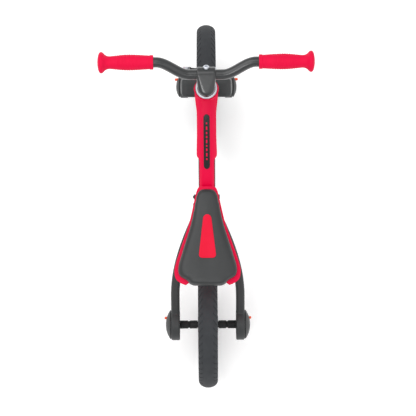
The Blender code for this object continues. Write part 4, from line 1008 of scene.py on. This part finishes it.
def swell(piece):
    """Swells the pad as cloth under pressure, and caps how far each point may move."""
    modified(piece, "REMESH", mode="VOXEL", voxel_size=4 * MM)
    before = [v.co.copy() for v in piece.data.vertices]
    cloth = piece.modifiers.new("Cloth", "CLOTH")
    cloth.settings.quality = 5
    cloth.settings.use_pressure = True
    cloth.settings.uniform_pressure_force = 4
    cloth.settings.effector_weights.gravity = 0
    scene = bpy.context.scene
    for step in range(1, 21):
        scene.frame_set(step)
    pick(piece)
    bpy.ops.object.modifier_apply(modifier=cloth.name)
    scene.frame_set(1)
    cap_move = 2.2 * MM
    for vertex, start in zip(piece.data.vertices, before):
        move = vertex.co - start
        if move.length > cap_move:
            move = move.normalized() * cap_move
        if start.z < (PAD_Z + 2) * MM:
            move.z = 0
        vertex.co = start + move
    modified(piece, "SMOOTH", factor=0.5, iterations=3)


def inlay_half(front_gap, rear_gap, length):
    """The inlay's half width at a place, from its gaps to the front and the rear end."""
    full = mix(8.2, 19.6, front_gap / length)
    nose, corner = 8.0, 8.5
    if front_gap < nose:
        full = full * math.sqrt(1 - (1 - front_gap / nose) ** 2)
    if rear_gap < corner:
        full = full - corner * (1 - math.sqrt(1 - (1 - rear_gap / corner) ** 2))
    return max(full, 1.2)


def seat_inlay(pad):
    """The red rubber inlay, laid on the pad's top: a long taper with round ends."""
    front, length, steps = -63.5, 97, 44
    loops = []
    for i in range(steps + 1):
        along = length * (0.5 - 0.5 * math.cos(math.pi * i / steps))
        half = inlay_half(along, length - along, length)
        edge = [(half, 0.2), (half, 1.2), (half - 0.35, 1.65)]
        top = [(half * share, 1.8) for share in (0.75, 0.5, 0.25, 0)]
        foot = [(half * share, 0.2) for share in (0, 0.5)]
        right = [*foot, *edge, *top]
        left = [(-x, z) for x, z in reversed(right) if x]
        loops.append([Vector((x, front - along, z)) for x, z in right + left])
    made = stacked("seat_inlay", loops)
    for vertex in made.data.vertices:
        found, spot, _, _ = pad.ray_cast((vertex.co.x, vertex.co.y, 1), (0, 0, -1))
        if found:
            vertex.co.z += spot.z
    pick(made)
    bpy.ops.object.shade_smooth_by_angle(angle=math.radians(50))
    place_piece(made, "seat", "inlay_rubber", "seat_inlay")


# The stage, light and camera

# Each light's name, place and size in metres, and power in watts
LIGHTS = (
    ("key", (-1.0, 0.8, 2.8), 2.4, 28),
    ("fill", (1.6, -0.6, 2.4), 2.6, 12),
    ("streak", (-0.35, -0.9, 2.4), 0.4, 6),
)


def stage():
    """A plain pale floor, an even white surround, two large soft lights and a small one for highlights."""
    clear()
    bpy.ops.mesh.primitive_plane_add(size=12, location=(0, 0, 0))
    floor = bpy.context.object
    floor.name = "floor"
    glow = {"Emission_Color": linear("ffffff"), "Emission_Strength": 0.22}
    look, tree, shader, place = finish_of("pale_paper", "f6f6f6", 0.9, **glow)
    tinted(tree, shader, noise(tree, place, 300.0), "f4f4f4", "f8f8f8")
    floor.data.materials.append(look)
    world = bpy.data.worlds.new("surround")
    world.use_nodes = True
    world.node_tree.nodes["Background"].inputs["Color"].default_value = (1, 1, 1, 1)
    world.node_tree.nodes["Background"].inputs["Strength"].default_value = 0.86
    bpy.context.scene.world = world
    for name, place, size, power in LIGHTS:
        light = bpy.data.lights.new(name, "AREA")
        light.size = size
        light.energy = power
        lamp = bpy.data.objects.new(name, light)
        bpy.context.scene.collection.objects.link(lamp)
        lamp.location = place
        lamp.rotation_euler = (Vector((0, 0, 0.2)) - Vector(place)).to_track_quat("-Z", "Y").to_euler()


def camera():
    """Looks down from behind at 80 degrees, a little turned about its own axis."""
    elevation, distance = math.radians(80), 3.85
    aim = Vector((0.0019, -0.0090, 0.1428))
    back = Vector((0, -math.cos(elevation), math.sin(elevation)))
    data = bpy.data.cameras.new("camera")
    data.lens = 142.8
    data.sensor_width = 36
    made = bpy.data.objects.new("camera", data)
    bpy.context.scene.collection.objects.link(made)
    made.location = aim + back * distance
    roll = Matrix.Rotation(math.radians(-0.4), 3, "Z")
    made.rotation_euler = ((-back).to_track_quat("-Z", "Y").to_matrix() @ roll).to_euler()
    bpy.context.scene.camera = made


# The small pieces that keep the model's own shape, by finish
CAD_FINISH = {
    "black_plastic": ("seat_clamp", "upper_bush", "lower_bush", "clamp_collar", "clamp_washer"),
    "black_paint": ("yoke_bolt_upper", "yoke_bolt_lower", "yoke_nut_upper", "yoke_nut_lower"),
    "zinc_steel": (
        "seat_clamp_bolt", "rear_axle",
        "front_axle", "rear_axle_nut_left", "rear_axle_nut_right",
        "front_axle_nut_left", "front_axle_nut_right",
        "steerer_tube", "clamp_barrel", "bar_post", "seat_post",
    ),
    "bearing_steel": ("front_bearing_left", "front_bearing_right", "rear_bearing_left", "rear_bearing_right"),
    "satin_silver": ("clamp_bolt", "clamp_lever", "stem_bolt"),
}


def cad_finishes():
    """Gives the model's own small pieces their finishes."""
    for slot, names in CAD_FINISH.items():
        for name in names:
            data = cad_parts[name].data
            data.materials.clear()
            data.materials.append(LOOKS[slot])


def build():
    stage()
    camera()
    cad_finishes()
    for end, y, body, inner_half, outer, rise, radius in (
        ("front", FRONT_Y, "fork", 43, 61.8, 9.5, 24), ("rear", REAR_Y, "frame", 64.6, 84.5, 12.5, 33)
    ):
        tyre(f"{end}_tyre", y, f"{end}_wheel")
        rim(f"{end}_rim", y, f"{end}_wheel")
        for side, sign in SIDES.items():
            sleeve(f"{end}_spacer_{side}", sign, y, inner_half, body)
            cap(f"{end}_cap_{side}", sign, y, outer, rise, radius, body)
            peg(f"{end}_peg_{side}", sign, body)
    crown_and_blades()
    bar()
    for side, sign in SIDES.items():
        grip(f"grip_{side}", sign)
    stem()
    headset_ring()
    main_frame()
    top_shell()
    badge()
    rear_yoke()
    seat_base()
    seat_inlay(seat_pad())


build()
bpy.context.scene.view_settings.view_transform = "Standard"
clear()
